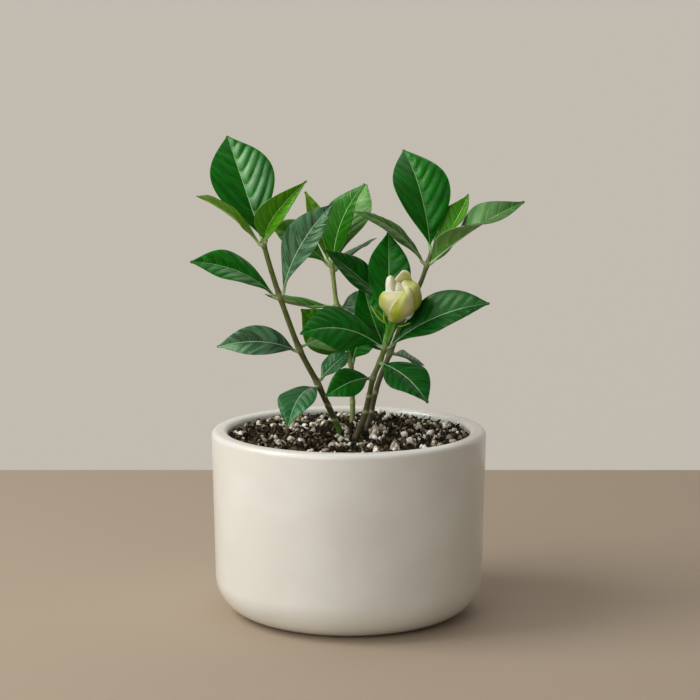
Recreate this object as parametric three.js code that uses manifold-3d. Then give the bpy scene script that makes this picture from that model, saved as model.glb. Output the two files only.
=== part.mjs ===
// Potted gardenia: a cream glazed planter filled with potting mix, four rooted stems,
// thirty glossy leaves and one half-open white bud. Millimetres, +Z up.
// The origin is the centre of the planter's flat underside, and -Y is the front.
import * as THREE from 'three'
import { mergeVertices } from 'three/addons/utils/BufferGeometryUtils.js'
import Module from 'manifold-3d'

const wasm = await Module()
wasm.setup()

// Driving dimensions of the planter and its filling
const POT_TOP_RADIUS = 75
const POT_SIDE_RADIUS = 73.4
const POT_HEIGHT = 101
const POT_CORNER = 20.6
const POT_WALL = 9
const POT_RIM_ROUND = 3
const POT_FLOOR = 12
const POT_INNER_CORNER = 14
const POT_SIDES = 44
const POT_CORNER_STEPS = 6
const POT_RIM_STEPS = 3
const POT_INNER_STEPS = 2
const SOIL_LEVEL = 97.3
const SOIL_MOUND = 0.8
const SOIL_RIPPLE = 0.9
const SOIL_WAVES = { right: 0.21, shift: 1, back: 0.17, slant: 0.11 }
const SOIL_LUMP = 1.1
const SOIL_RINGS = 8
const GRAIN_SEED = 7
const GRAIN_COUNT = 80
const GRAIN_SMALL = 2.2
const GRAIN_LARGE = 4.2
const GRAIN_STRETCH = [0.8, 1.3]
const GRAIN_SUNK = 0.1
const GRAIN_EDGE_GAP = 1
const CLEARANCE = 0.3
const MERGE_REACH = 1e-4

// Driving dimensions of the plant
const STEM_SIDES = 8
const STEM_STEPS = 3
const STEM_HALVINGS = 24
const NODE_SWELLING = 0.25
const NODE_REACH = 2.5
const BLADE_THICKNESS = 0.7
const PETIOLE_LENGTH = 1.5
const PETIOLE_HALF = 0.65
const PETIOLE_REACH = 1.5
const BLADE_START = 0.05
const TIP_HALF = 0.4
const LEAF_STATIONS = [0, 0.07, 0.14, 0.24, 0.35, 0.46, 0.57, 0.68, 0.79, 0.9, 1]
const LEAF_ACROSS = [-1, -0.5, 0, 0.5, 1]
const LEAF_POINTEDNESS = 1.15
const LEAF_CAMBER = 0.1
const LEAF_WAVE = 0.5
const LEAF_WAVES = 2.2
const FOOT_PROBE = [-2, 0.5]

// Each stem runs from inside the soil to its top node, with its radius at foot and top
const STEMS = {
  stem_left: {
    radius: [1.8, 1.3], colour: 0x4a4a24,
    points: [[-2, 3, 72], [-4, 3, 95], [-9, 1, 108], [-17, -2, 126], [-27, -5, 146],
      [-37, -8, 174], [-42, -10, 190], [-46, -12, 205]],
  },
  stem_back: {
    radius: [1.6, 1.2], colour: 0x8a9a60,
    points: [[2, 29, 72], [2, 30, 96], [2, 32, 111], [1, 35, 132], [-3, 38, 149],
      [-7, 41, 165], [-9, 43, 181], [-10, 44, 188]],
  },
  stem_front: {
    radius: [1.8, 1.3], colour: 0x5a4a30,
    points: [[-1, -6, 72], [3, -8, 95], [8, -10, 108], [11, -12, 121], [13, -14, 131],
      [17, -16, 141], [20, -18.5, 151]],
  },
  stem_right: {
    radius: [1.6, 1.2], colour: 0x66603a,
    points: [[6, 13, 72], [9, 14, 95], [12, 14, 106], [16, 14, 123], [23, 15, 141],
      [31, 16, 161], [39, 17, 178], [43, 18, 189], [46, 19, 197]],
  },
}

// A leaf leaves its stem at height z and ends at tip. face is where its upper side looks,
// bow lifts its middle, sway bends it sideways, fold and twist are in degrees, and wide
// is how far along the blade its broadest place lies.
const LEAVES = {
  leaf_left_1: { stem: 'stem_left', z: 205, tip: [-66.1, 13.4, 259.7], width: 36.6,
    face: [0.18, -0.95, 0.26], bow: 5.2, sway: -0.8, fold: 20, twist: -3, wide: 0.54 },
  leaf_left_2: { stem: 'stem_left', z: 203, tip: [-78.8, -40.7, 230.6], width: 21.1,
    face: [0.38, -0.3, 0.87], bow: 2.1, sway: 3.1, fold: 16, twist: -16, wide: 0.53 },
  leaf_left_3: { stem: 'stem_left', z: 204, tip: [-21.7, -39.4, 238.5], width: 21.3,
    face: [-0.23, -0.95, 0.22], bow: 10.6, sway: 0.1, fold: 48, twist: -22, wide: 0.49 },
  leaf_left_4: { stem: 'stem_left', z: 174, tip: [-84.2, -20.7, 194.3], width: 23,
    face: [0.32, -0.54, 0.78], bow: 5.4, sway: 1.6, fold: 17, twist: 25, wide: 0.57 },
  leaf_left_5: { stem: 'stem_left', z: 175, tip: [-8.5, -11.8, 224.4], width: 23.3,
    face: [-0.52, -0.81, 0.27], bow: 6.4, sway: -0.6, fold: 26, twist: -37, wide: 0.56 },
  leaf_left_6: { stem: 'stem_left', z: 145, tip: [-70.9, -12.5, 147.6], width: 19.2,
    face: [0.21, -0.91, 0.36], bow: 9.8, sway: 1.8, fold: 32, twist: 18, wide: 0.51 },
  leaf_left_7: { stem: 'stem_left', z: 146, tip: [-3.8, 21.5, 153.9], width: 20.7,
    face: [0.06, -0.99, 0.16], bow: 3.1, sway: 0.6, fold: 14, twist: -1, wide: 0.57 },
  leaf_left_8: { stem: 'stem_left', z: 125, tip: [-32.2, -33.8, 107.9], width: 22,
    face: [-0.28, -0.57, 0.77], bow: 6.3, sway: 0.5, fold: 13, twist: 0, wide: 0.54 },
  leaf_left_9: { stem: 'stem_left', z: 127, tip: [0.6, 7.1, 142.1], width: 16.3,
    face: [-0.53, -0.59, 0.61], bow: 0.3, sway: -0.8, fold: 14, twist: -1, wide: 0.52 },
  leaf_back_1: { stem: 'stem_back', z: 188, tip: [8.9, 34.6, 232.5], width: 25.6,
    face: [-0.6, -0.68, 0.42], bow: 4.1, sway: -1.6, fold: 23, twist: 28, wide: 0.47 },
  leaf_back_2: { stem: 'stem_back', z: 185, tip: [10.3, 59.5, 230.4], width: 28,
    face: [-0.49, -0.79, 0.36], bow: 4, sway: -0.2, fold: 15, twist: -13, wide: 0.59 },
  leaf_back_3: { stem: 'stem_back', z: 187, tip: [-24.8, 53.9, 226.8], width: 14,
    face: [0.5, -0.76, 0.41], bow: 1.9, sway: 0.2, fold: 16, twist: 0, wide: 0.52 },
  leaf_back_4: { stem: 'stem_back', z: 186, tip: [-43.2, 31.3, 209.1], width: 24.6,
    face: [0.35, -0.68, 0.64], bow: 0.7, sway: 2.1, fold: 14, twist: 7, wide: 0.58 },
  leaf_back_5: { stem: 'stem_back', z: 183, tip: [15.7, 77.2, 198.4], width: 20.1,
    face: [-0.67, -0.3, 0.67], bow: 1.1, sway: -0.5, fold: 12, twist: -8, wide: 0.52 },
  leaf_back_6: { stem: 'stem_back', z: 164, tip: [-46.7, 28.9, 171.5], width: 21.6,
    face: [0.13, -0.13, 0.98], bow: -3.3, sway: 0.9, fold: 20, twist: -31, wide: 0.57 },
  leaf_back_7: { stem: 'stem_back', z: 163, tip: [21.1, 55.9, 171.7], width: 22.4,
    face: [-0.25, -0.71, 0.66], bow: -5, sway: 1, fold: 6, twist: 1, wide: 0.49 },
  leaf_back_8: { stem: 'stem_back', z: 132, tip: [24.5, 25.5, 151.7], width: 18.7,
    face: [-0.26, -0.86, 0.44], bow: 6.5, sway: -3.9, fold: 16, twist: 2, wide: 0.49 },
  leaf_back_9: { stem: 'stem_back', z: 133, tip: [-26.6, 24.1, 163.6], width: 25.3,
    face: [0.25, -0.92, 0.3], bow: 0.7, sway: 0.3, fold: 10, twist: 1, wide: 0.55 },
  leaf_front_1: { stem: 'stem_front', z: 148, tip: [-25.7, -33.8, 157.6], width: 28.3,
    face: [0.03, -0.75, 0.66], bow: 3.5, sway: 5.4, fold: 3, twist: -4, wide: 0.55 },
  leaf_front_2: { stem: 'stem_front', z: 149, tip: [21.4, 15.5, 207.2], width: 24.9,
    face: [0.26, -0.93, 0.26], bow: -0.3, sway: 1.4, fold: 11, twist: 2, wide: 0.62 },
  leaf_front_3: { stem: 'stem_front', z: 148.5, tip: [74, -34.6, 173.9], width: 29.2,
    face: [-0.16, -0.65, 0.75], bow: 3.5, sway: -3.1, fold: 22, twist: 8, wide: 0.57 },
  leaf_front_4: { stem: 'stem_front', z: 140, tip: [41.1, -51.3, 123.8], width: 23,
    face: [0.22, -0.82, 0.53], bow: 2.9, sway: -1.6, fold: 9, twist: 9, wide: 0.49 },
  leaf_front_5: { stem: 'stem_front', z: 131, tip: [-12.6, -32.4, 123.8], width: 16.8,
    face: [0.02, -0.91, 0.41], bow: 4.6, sway: 1.1, fold: 17, twist: -2, wide: 0.54 },
  leaf_right_1: { stem: 'stem_right', z: 140, tip: [7.2, 17.8, 181.6], width: 23.5,
    face: [0.15, -0.93, 0.32], bow: 5.5, sway: -2.8, fold: 18, twist: -3, wide: 0.4 },
  leaf_right_2: { stem: 'stem_right', z: 141, tip: [42.1, 32.3, 131], width: 14.6,
    face: [0.04, -0.45, 0.9], bow: 0.5, sway: 0, fold: 11, twist: -4, wide: 0.53 },
  leaf_right_3: { stem: 'stem_right', z: 161, tip: [-12.9, 3.2, 198.4], width: 21.3,
    face: [-0.08, -0.53, 0.85], bow: 1.2, sway: -0.8, fold: 18, twist: 11, wide: 0.59 },
  leaf_right_4: { stem: 'stem_right', z: 197, tip: [30.3, 46.9, 250.7], width: 34.9,
    face: [0.31, -0.91, 0.27], bow: 8.2, sway: -0.2, fold: 22, twist: 14, wide: 0.51 },
  leaf_right_5: { stem: 'stem_right', z: 196, tip: [66.1, 30.1, 226.9], width: 24.5,
    face: [-0.26, -0.38, 0.89], bow: 0.2, sway: 2.5, fold: 37, twist: -27, wide: 0.42 },
  leaf_right_6: { stem: 'stem_right', z: 190, tip: [95.4, 8.1, 224.3], width: 30.5,
    face: [-0.09, -0.18, 0.98], bow: 4.2, sway: 6, fold: 33, twist: -112, wide: 0.44 },
  leaf_right_7: { stem: 'stem_right', z: 189, tip: [1.9, 6.2, 219.1], width: 18.5,
    face: [0.58, -0.29, 0.76], bow: 4.4, sway: 2.6, fold: 5, twist: -10, wide: 0.49 },
}

// The bud stands on the front stem. Each of its petals is listed in rows from its foot to its
// lip, across it from one side to the other, as places in the bud's own frame: to the right,
// to the back and up along its axis.
const BUD_FOOT = [23.3, -20.5, 162.5]
const BUD_AXIS = [0.2, -0.24, 0.95]
const PETAL_THICKNESS = 1
const PETAL_ROWS = 6
const PETAL_COLUMNS = 5
const PETAL_STEP = 0.01
const PETALS = [
  [
    [[-2.1, 1.2, 1], [-1.2, 2.1, 1], [0, 2.4, 1], [1.2, 2.1, 1], [2.1, 1.2, 1]],
    [[-2.5, 5, 8.9], [0.4, 8, 8.3], [3.6, 9.5, 8.3], [6.5, 9, 9.1], [9.1, 6, 10.9]],
    [[-3.3, 3.2, 16.9], [-1.1, 3.4, 17.7], [1.4, 4.6, 17.9], [4.4, 5.4, 18.4], [7.8, 5.4, 18.7]],
    [[-3.3, 3.8, 20.4], [-2.1, 3, 22.1], [0.6, 3.7, 23.3], [3.7, 4.6, 23.4], [6.4, 5.4, 21.7]],
    [[-3.2, 4.6, 21.7], [-2.3, 3.4, 25.3], [-0.1, 3.8, 28.3], [3, 4.4, 27.7], [5.2, 5, 24.2]],
  ],
  [
    [[-1.4, -2, 1], [-2.1, -1.2, 1], [-2.4, -0.2, 1], [-2.3, 0.8, 1], [-1.7, 1.7, 1]],
    [[-7.3, -2, 10.6], [-5.9, -5, 12.1], [-4, -6, 12.9], [-1.8, -6, 13.3], [0.3, -4, 13]],
    [[-7.1, -0.8, 16.4], [-6.4, -2.2, 17.3], [-5, -2.8, 18.1], [-3.3, -2.4, 18.2], [-1.6, -1, 17.8]],
    [[-7.7, 0.6, 19.9], [-7.4, -0.8, 21.3], [-6.1, -1.6, 22.3], [-4.5, -1.2, 22.1], [-3.1, 0, 20.7]],
    [[-7.8, 1.8, 21.7], [-7.6, 1, 23.8], [-6.6, 0.6, 25.1], [-5, 1, 24.4], [-3.4, 1.8, 22]],
  ],
  [
    [[-2.1, -1.2, 1], [-1.4, -2, 1], [-0.4, -2.4, 1], [0.6, -2.3, 1], [1.5, -1.8, 1]],
    [[-3.5, -5, 12.6], [-1.4, -6.4, 13.6], [0.7, -7, 14.3], [3, -7, 14.7], [4.9, -6, 14.7]],
    [[-3.4, -2.2, 16.9], [-1.9, -3.4, 17.7], [-0, -3.8, 18.2], [1.9, -4, 18.3], [3.6, -4.6, 18.3]],
    [[-3.5, -0.4, 19.9], [-2.3, -1.6, 20.8], [-0.8, -2, 20.9], [1.1, -2.4, 20.4], [2.9, -3, 19.8]],
    [[-3.5, 1.2, 21.4], [-2.1, 1, 21.9], [-0.2, 0.4, 21.7], [1.3, -0.6, 21.2], [2.6, -1.8, 20.4]],
  ],
  [
    [[1.4, -2.4, 1], [2.5, -1.2, 1], [2.8, 0.2, 1], [2.1, 1.8, 1], [0.7, 2.7, 1]],
    [[6.4, -6.5, 8], [8.6, -5.2, 9.4], [10.3, -1, 9.4], [10.1, 4, 8.5], [7.7, 6.4, 8.7]],
    [[5.7, -8.2, 13.7], [9.6, -6, 14.4], [12.1, -1, 14.6], [11.4, 4.4, 13.6], [8.3, 8, 13.2]],
    [[4.9, -7.6, 18.3], [8.3, -5, 19.6], [10.8, -0.5, 19.2], [10, 5, 18.5], [7.2, 8, 18.4]],
    [[4.3, -6, 20.2], [6.1, -3.6, 22.1], [7.9, 0, 23], [7.1, 3.8, 22.6], [4.7, 6, 22.5]],
    [[2.9, -3.4, 20.5], [1, -2, 21.1], [-0.2, 0, 21.7], [0.9, 2.5, 22.6], [3.4, 4.6, 23]],
  ],
  [
    [[-1.6, 2.3, 1], [-2.7, 0.7, 1], [-2.6, -1, 1], [-1.6, -2.3, 1], [-0, -2.8, 1]],
    [[-2.6, 4, 3.8], [-4.7, -1, 4.9], [-3.4, -5, 5.3], [-0.8, -7, 6], [2.7, -7.4, 6.9]],
    [[-6.2, 5, 8.1], [-8.7, -1, 8.3], [-6.4, -6.5, 9.9], [-2.1, -9, 11.1], [2.1, -9, 12.8]],
    [[-6.5, 5, 11.3], [-9.5, -1.5, 13.3], [-7.2, -6.8, 15], [-2.8, -9, 16], [2.5, -8.6, 16.9]],
    [[-5.8, 3, 15.4], [-8.2, -1, 15.9], [-6.1, -3.5, 17.9], [-2.1, -4.5, 18.8], [3, -3.4, 19.3]],
  ],
  [
    [[-0.8, -2.8, 0.8], [-0, -2.9, 0.8], [0.8, -2.8, 0.8], [1.5, -2.5, 0.8], [2.1, -2.1, 0.8]],
    [[-1.9, -7.4, 5], [-0.3, -8.4, 4.6], [1.4, -8.8, 5.4], [3.5, -8.5, 6.5], [6, -7.2, 7.5]],
    [[-3.6, -9.9, 8.7], [-1, -11, 9.1], [2.2, -11.6, 10.3], [5.2, -10.6, 11.2], [8.1, -8, 11.6]],
    [[-3.4, -10.3, 12.6], [-0.4, -11.2, 13.6], [2.2, -12, 15.1], [5, -10.8, 15.4], [7.6, -8.6, 15.7]],
    [[-0.6, -9.8, 17.6], [1, -10.5, 18.2], [2.2, -11.2, 18.9], [4.4, -10.2, 19.2], [6.6, -8.2, 18.9]],
    [[1.2, -7.6, 19.8], [2, -8, 20.3], [2.7, -8.2, 20.7], [4.1, -7.6, 21.1], [5.4, -6.6, 20.9]],
    [[2.5, -4.6, 20.9], [2.4, -4.6, 21.6], [2.5, -4.5, 22.1], [3, -4.3, 22.4], [3.7, -4.2, 22.1]],
  ],
  [
    [[1, -2.8, 0.6], [1.7, -2.5, 0.6], [2.3, -1.9, 0.6], [2.7, -1.3, 0.6], [3, -0.5, 0.6]],
    [[4.9, -6.2, 5.9], [6.3, -6, 6.3], [7.5, -5.4, 7.1], [8.3, -4.4, 7.9], [8.9, -3, 9]],
    [[5.9, -6.8, 5.6], [7.5, -6.6, 5.5], [8.5, -5.8, 6.7], [9.1, -4.8, 8.1], [9.4, -3.4, 9.2]],
  ],
]
const ROOM_HEIGHT = 16
const ROOM_STEPS = 8
const ROOM_SIDES = 20
const ROOM_BAND = 1.2
const ROOM_SAMPLES = 12
const CORE_RADIUS = 6
const CORE_HEIGHT = 21
const CORE_SHIFT = 0.6
const CORE_SIDES = 12
const CORE_RINGS = 8
const CALYX_FOOT = [20.2, -18.7, 151.5]
const CALYX_BEND = -5
const CALYX_RISE = 1
const CALYX_RADII = [1.4, 1.7, 2.3, 3.1, 3.5]
const CALYX_SIDES = 10
const CALYX_RIB = 0.05
const SEPAL_THICKNESS = 0.8
const SEPAL_WIDTH = 3
const SEPAL_NECK = 0.5
const SEPAL_NECK_HALF = 0.8
const SEPAL_DROP = -2
const SEPAL_START = 1.6
const SEPAL_SHAPE = { bow: -0.9, sway: 0, fold: 18, twist: 0, wide: 0.4 }
const SEPAL_STATIONS = [0, 0.2, 0.4, 0.6, 0.8, 1]
const SEPALS = [
  { reach: [-9.9, -1, 10.8], face: [0.45, -0.8, 0.5] },
  { reach: [8.2, -2, 1.5], face: [0.1, -0.35, 0.95] },
  { reach: [-3.4, -4.6, 6.5], face: [-0.2, -0.7, 0.5] },
  { reach: [5.5, 6, 6.5], face: [-0.6, -0.7, 0.8] },
  { reach: [-3.5, 8, 6], face: [0.4, -0.9, 0.8] },
]

// The colour and roughness of each kind of piece
const FINISHES = {
  planter: [0xe9e4d6, 0.35], soil: [0x2b221b, 0.95], leaf: [0x1f5a22, 0.35],
  calyx: [0x5f8a35, 0.5], bud: [0xf1ecc9, 0.5],
}
const STEM_ROUGHNESS = 0.7

const radians = THREE.MathUtils.degToRad
const vector = (list) => new THREE.Vector3(...list)

// A seeded draw, so that every build places the grains alike
function seededRandom(seed) {
  let state = seed
  return () => {
    state = (state * 1664525 + 1013904223) % 4294967296
    return state / 4294967296
  }
}

// A closed solid from its corners and triangles, turned so that its faces look out
function solidFrom(corners, triangles) {
  let volume = 0
  for (const [a, b, c] of triangles) {
    volume += corners[a].dot(corners[b].clone().cross(corners[c]))
  }
  const facing = volume > 0 ? triangles : triangles.map(([a, b, c]) => [a, c, b])
  const vertProperties = new Float32Array(corners.flatMap((p) => [p.x, p.y, p.z]))
  const triVerts = new Uint32Array(facing.flat())
  return new wasm.Manifold(new wasm.Mesh({ numProp: 3, vertProperties, triVerts }))
}

// A closed solid from a three.js geometry whose flat triangles at poles are dropped
function solidFromGeometry(geometry) {
  geometry.deleteAttribute('normal')
  geometry.deleteAttribute('uv')
  const merged = mergeVertices(geometry, MERGE_REACH)
  const place = merged.getAttribute('position')
  const cornerAt = (_, i) => new THREE.Vector3().fromBufferAttribute(place, i)
  const corners = Array.from({ length: place.count }, cornerAt)
  const index = Array.from(merged.getIndex().array)
  const triangles = []
  for (let i = 0; i < index.length; i += 3) {
    const [a, b, c] = index.slice(i, i + 3)
    if (a !== b && b !== c && c !== a) triangles.push([a, b, c])
  }
  return solidFrom(corners, triangles)
}

// The named mesh of a solid, in its colour
function meshOf(name, solid, [colour, roughness]) {
  const { vertProperties, triVerts } = solid.getMesh()
  const geometry = new THREE.BufferGeometry()
  geometry.setAttribute('position', new THREE.BufferAttribute(new Float32Array(vertProperties), 3))
  geometry.setIndex(Array.from(triVerts))
  geometry.computeVertexNormals()
  const material = new THREE.MeshStandardMaterial({ color: colour, roughness, metalness: 0 })
  const mesh = new THREE.Mesh(geometry, material)
  mesh.name = name
  return mesh
}

// A ring of points round a centre, square to a direction, with a reach for each point
function ringAround(centre, along, sides, reach) {
  const side = new THREE.Vector3(1, 0, 0).addScaledVector(along, -along.x).normalize()
  const other = along.clone().cross(side)
  return Array.from({ length: sides }, (_, j) => {
    const angle = 2 * Math.PI * j / sides
    const point = centre.clone().addScaledVector(side, reach(j) * Math.cos(angle))
    return point.addScaledVector(other, reach(j) * Math.sin(angle))
  })
}

// Rings of equal length joined into one closed skin
function skinOfRings(rings) {
  const count = rings[0].length
  const corners = rings.flat()
  const triangles = []
  for (let i = 0; i + 1 < rings.length; i += 1) {
    for (let j = 0; j < count; j += 1) {
      const [a, b] = [i * count + j, i * count + (j + 1) % count]
      triangles.push([a, b, b + count], [a, b + count, a + count])
    }
  }
  const last = (rings.length - 1) * count
  for (let j = 1; j + 1 < count; j += 1) {
    triangles.push([0, j + 1, j], [last, last + j, last + j + 1])
  }
  return solidFrom(corners, triangles)
}

// A curved sheet given as rows of points with their normals, thickened to a closed solid.
// Both faces are split along the same diagonals.
function sheetSolid(rows, thickness) {
  const across = rows[0].length
  const half = rows.length * across
  const lift = (side) => rows.flat().map(({ point, normal, thick }) => (
    point.clone().addScaledVector(normal, side * (thick ?? thickness) / 2)))
  const corners = [...lift(1), ...lift(-1)]
  const triangles = []
  const wall = (a, b) => triangles.push([a, b, b + half], [a, b + half, a + half])
  for (let i = 0; i + 1 < rows.length; i += 1) {
    for (let j = 0; j + 1 < across; j += 1) {
      const a = i * across + j
      const [b, c, d] = [a + across, a + across + 1, a + 1]
      triangles.push([a, b, c], [a, c, d], [a + half, c + half, b + half], [a + half, d + half, c + half])
    }
    wall((i + 1) * across, i * across)
    wall((i + 1) * across - 1, (i + 2) * across - 1)
  }
  const last = (rows.length - 1) * across
  for (let j = 0; j + 1 < across; j += 1) {
    wall(j, j + 1)
    wall(last + j + 1, last + j)
  }
  return solidFrom(corners, triangles)
}

// The largest body of a solid, without the loose scraps of a cut
function mainBody(solid) {
  return solid.decompose().reduce((best, body) => (body.volume() > best.volume() ? body : best))
}

// Points evenly along an arc, from one angle to another in degrees
function arcPoints(centreX, centreY, radius, from, to, steps) {
  return Array.from({ length: steps + 1 }, (_, i) => {
    const angle = radians(from + (to - from) * i / steps)
    return new THREE.Vector2(centreX + radius * Math.cos(angle), centreY + radius * Math.sin(angle))
  })
}

// The planter: flat underside, large round corner, slightly flared side and a rounded rim
function potSolid() {
  const inner = POT_TOP_RADIUS - POT_WALL
  const rimHeight = POT_HEIGHT - POT_RIM_ROUND
  const profile = [
    new THREE.Vector2(0, 0),
    ...arcPoints(POT_SIDE_RADIUS - POT_CORNER, POT_CORNER, POT_CORNER, -90, 0, POT_CORNER_STEPS),
    ...arcPoints(POT_TOP_RADIUS - POT_RIM_ROUND, rimHeight, POT_RIM_ROUND, 0, 90, POT_RIM_STEPS),
    ...arcPoints(inner + POT_RIM_ROUND, rimHeight, POT_RIM_ROUND, 90, 180, POT_RIM_STEPS),
    ...arcPoints(
      inner - POT_INNER_CORNER, POT_FLOOR + POT_INNER_CORNER, POT_INNER_CORNER, 0, -90, POT_INNER_STEPS,
    ),
    new THREE.Vector2(0, POT_FLOOR),
  ]
  return solidFromGeometry(new THREE.LatheGeometry(profile, POT_SIDES).rotateX(Math.PI / 2))
}

// The gentle relief of the potting mix, as a height above the underside
function soilHeight(x, y) {
  const out = Math.hypot(x, y) / (POT_TOP_RADIUS - POT_WALL)
  const { right, shift, back, slant } = SOIL_WAVES
  const ripple = Math.sin(x * right + shift) * Math.cos(y * back) + Math.sin((x + y) * slant)
  return SOIL_LEVEL + SOIL_MOUND * (1 - out * out) + SOIL_RIPPLE * ripple * (1 - out ** 4)
}

// The potting mix, with coarse grains of bark and perlite fused into its top
function soilSolid() {
  const radius = POT_TOP_RADIUS - POT_WALL - CLEARANCE
  const foot = POT_FLOOR + CLEARANCE
  const corner = POT_INNER_CORNER
  const outline = [
    ...arcPoints(radius - corner, foot + corner, corner, -90, 0, POT_INNER_STEPS),
    ...Array.from({ length: SOIL_RINGS }, (_, i) => new THREE.Vector2(radius * (1 - i / SOIL_RINGS), null)),
  ]
  const random = seededRandom(GRAIN_SEED)
  const rings = outline.map((step) => Array.from({ length: POT_SIDES }, (_, j) => {
    const angle = 2 * Math.PI * j / POT_SIDES
    const [x, y] = [step.x * Math.sin(angle), step.x * Math.cos(angle)]
    const lump = SOIL_LUMP * (2 * random() - 1)
    return new THREE.Vector3(x, y, step.y ?? soilHeight(x, y) + lump)
  }))
  const bed = skinOfRings(rings)
  const grains = Array.from({ length: GRAIN_COUNT }, () => {
    const size = GRAIN_SMALL + (GRAIN_LARGE - GRAIN_SMALL) * random() ** 2
    const out = (radius - GRAIN_STRETCH[1] * size - GRAIN_EDGE_GAP) * Math.sqrt(random())
    const angle = 2 * Math.PI * random()
    const [x, y] = [out * Math.cos(angle), out * Math.sin(angle)]
    const shape = new THREE.OctahedronGeometry(size, 0)
    const stretch = () => THREE.MathUtils.lerp(...GRAIN_STRETCH, random())
    shape.scale(stretch(), stretch(), stretch())
    shape.rotateX(random() * Math.PI).rotateY(random() * Math.PI).rotateZ(random() * Math.PI)
    shape.translate(x, y, soilHeight(x, y) - GRAIN_SUNK * size)
    return solidFromGeometry(shape)
  })
  return wasm.Manifold.union([bed, ...grains])
}

// A smooth curve that passes evenly through a list of points
function evenCurve(points) {
  return new THREE.CatmullRomCurve3(points, false, 'catmullrom', 0.5)
}

// The line along the middle of a stem
function stemCurve(name) {
  return evenCurve(STEMS[name].points.map(vector))
}

// The point of a stem at a height, found by halving
function stemAt(name, height) {
  const curve = stemCurve(name)
  let [low, high] = [0, 1]
  for (let i = 0; i < STEM_HALVINGS; i += 1) {
    const middle = (low + high) / 2
    if (curve.getPoint(middle).z < height) low = middle
    else high = middle
  }
  return curve.getPoint(low)
}

// A round bar along a stem's curve, thicker by grow, with a faint swelling at each node
function stemSolid(name, grow = 0) {
  const { points, radius } = STEMS[name]
  const curve = stemCurve(name)
  const steps = (points.length - 1) * STEM_STEPS
  const nodes = Object.values(LEAVES).filter((leaf) => leaf.stem === name).map((leaf) => leaf.z)
  const rings = []
  for (let i = 0; i <= steps; i += 1) {
    const share = i / steps
    const centre = curve.getPoint(share)
    const along = curve.getTangent(share)
    if (i === 0) centre.addScaledVector(along, -grow)
    if (i === steps) centre.addScaledVector(along, grow)
    const swelling = nodes.some((z) => Math.abs(z - centre.z) < NODE_REACH) ? NODE_SWELLING : 0
    const size = radius[0] + (radius[1] - radius[0]) * share + swelling + grow
    rings.push(ringAround(centre, along, STEM_SIDES, () => size))
  }
  return skinOfRings(rings)
}

// Half the width of a blade, as a share of its largest, from its base to its tip
function bladeShape(share, wide) {
  const power = Math.log(0.5) / Math.log(wide)
  return Math.sin(Math.PI * THREE.MathUtils.clamp(share, 0, 1) ** power) ** LEAF_POINTEDNESS
}

// The rows of a blade from foot to tip along a bowed midrib. The blade folds along the
// midrib and turns about it.
function bladeRows(foot, leaf, width, stations, petiole, petioleHalf) {
  const tip = vector(leaf.tip)
  const chord = tip.clone().sub(foot)
  const length = chord.length()
  const direction = chord.clone().normalize()
  const face = vector(leaf.face).normalize()
  const up = face.clone().addScaledVector(direction, -face.dot(direction)).normalize()
  const aside = direction.clone().cross(up)
  const middle = foot.clone().add(tip).multiplyScalar(0.5)
  middle.addScaledVector(up, 2 * leaf.bow).addScaledVector(aside, 2 * leaf.sway)
  const midrib = new THREE.QuadraticBezierCurve3(foot, middle, tip)
  const fold = radians(leaf.fold)
  return stations.map((share) => {
    const centre = midrib.getPoint(share)
    const along = midrib.getTangent(share)
    const normal = face.clone().addScaledVector(along, -face.dot(along)).normalize()
    const side = along.clone().cross(normal)
    const turn = radians(leaf.twist) * (share - 0.5)
    const sideTurned = side.clone().applyAxisAngle(along, -turn)
    const upTurned = normal.clone().applyAxisAngle(along, -turn)
    const inBlade = (share * length - petiole) / (length - petiole)
    const blade = inBlade > 0 ? width / 2 * bladeShape(inBlade, leaf.wide) : 0
    const half = Math.max(blade, share * length > petiole * PETIOLE_REACH ? TIP_HALF : petioleHalf)
    const thick = inBlade > BLADE_START ? BLADE_THICKNESS : 2 * petioleHalf
    const wave = blade / width * 2 * LEAF_WAVE * Math.sin(2 * Math.PI * LEAF_WAVES * share + tip.x)
    return LEAF_ACROSS.map((t) => {
      const bend = (wave * Math.sign(t) - LEAF_CAMBER * blade) * t * t
      const point = centre.clone().addScaledVector(sideTurned, t * half * Math.cos(fold))
      point.addScaledVector(upTurned, Math.abs(t) * half * Math.sin(fold) + bend)
      return { point, normal: upTurned.clone(), thick }
    })
  })
}

// Where a leaf meets its stem: on the side of the stem that faces the leaf's tip
function leafFoot(leaf) {
  const centre = stemAt(leaf.stem, leaf.z)
  const [below, above] = FOOT_PROBE.map((step) => stemAt(leaf.stem, leaf.z + step))
  const along = above.sub(below).normalize()
  const outward = vector(leaf.tip).sub(centre)
  outward.addScaledVector(along, -outward.dot(along)).normalize()
  return centre.addScaledVector(outward, STEMS[leaf.stem].radius[1] + CLEARANCE)
}

// One leaf with its stalk, kept clear of its stem
function leafSolid(name) {
  const leaf = LEAVES[name]
  const rows = bladeRows(leafFoot(leaf), leaf, leaf.width, LEAF_STATIONS, PETIOLE_LENGTH, PETIOLE_HALF)
  return sheetSolid(rows, BLADE_THICKNESS).subtract(stemSolid(leaf.stem, CLEARANCE))
}

// The frame that stands a shape built along +Z at the bud's foot, along its axis
function budPlace() {
  const up = vector(BUD_AXIS).normalize()
  const right = new THREE.Vector3(1, 0, 0).addScaledVector(up, -up.x).normalize()
  return new THREE.Matrix4().makeBasis(right, up.clone().cross(right), up).setPosition(vector(BUD_FOOT))
}

// A point of a petal: u runs across it from 0 to 1, v from its foot to its lip
function petalPoint(petal, u, v) {
  return evenCurve(petal.map((row) => evenCurve(row.map(vector)).getPoint(u))).getPoint(v)
}

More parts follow.
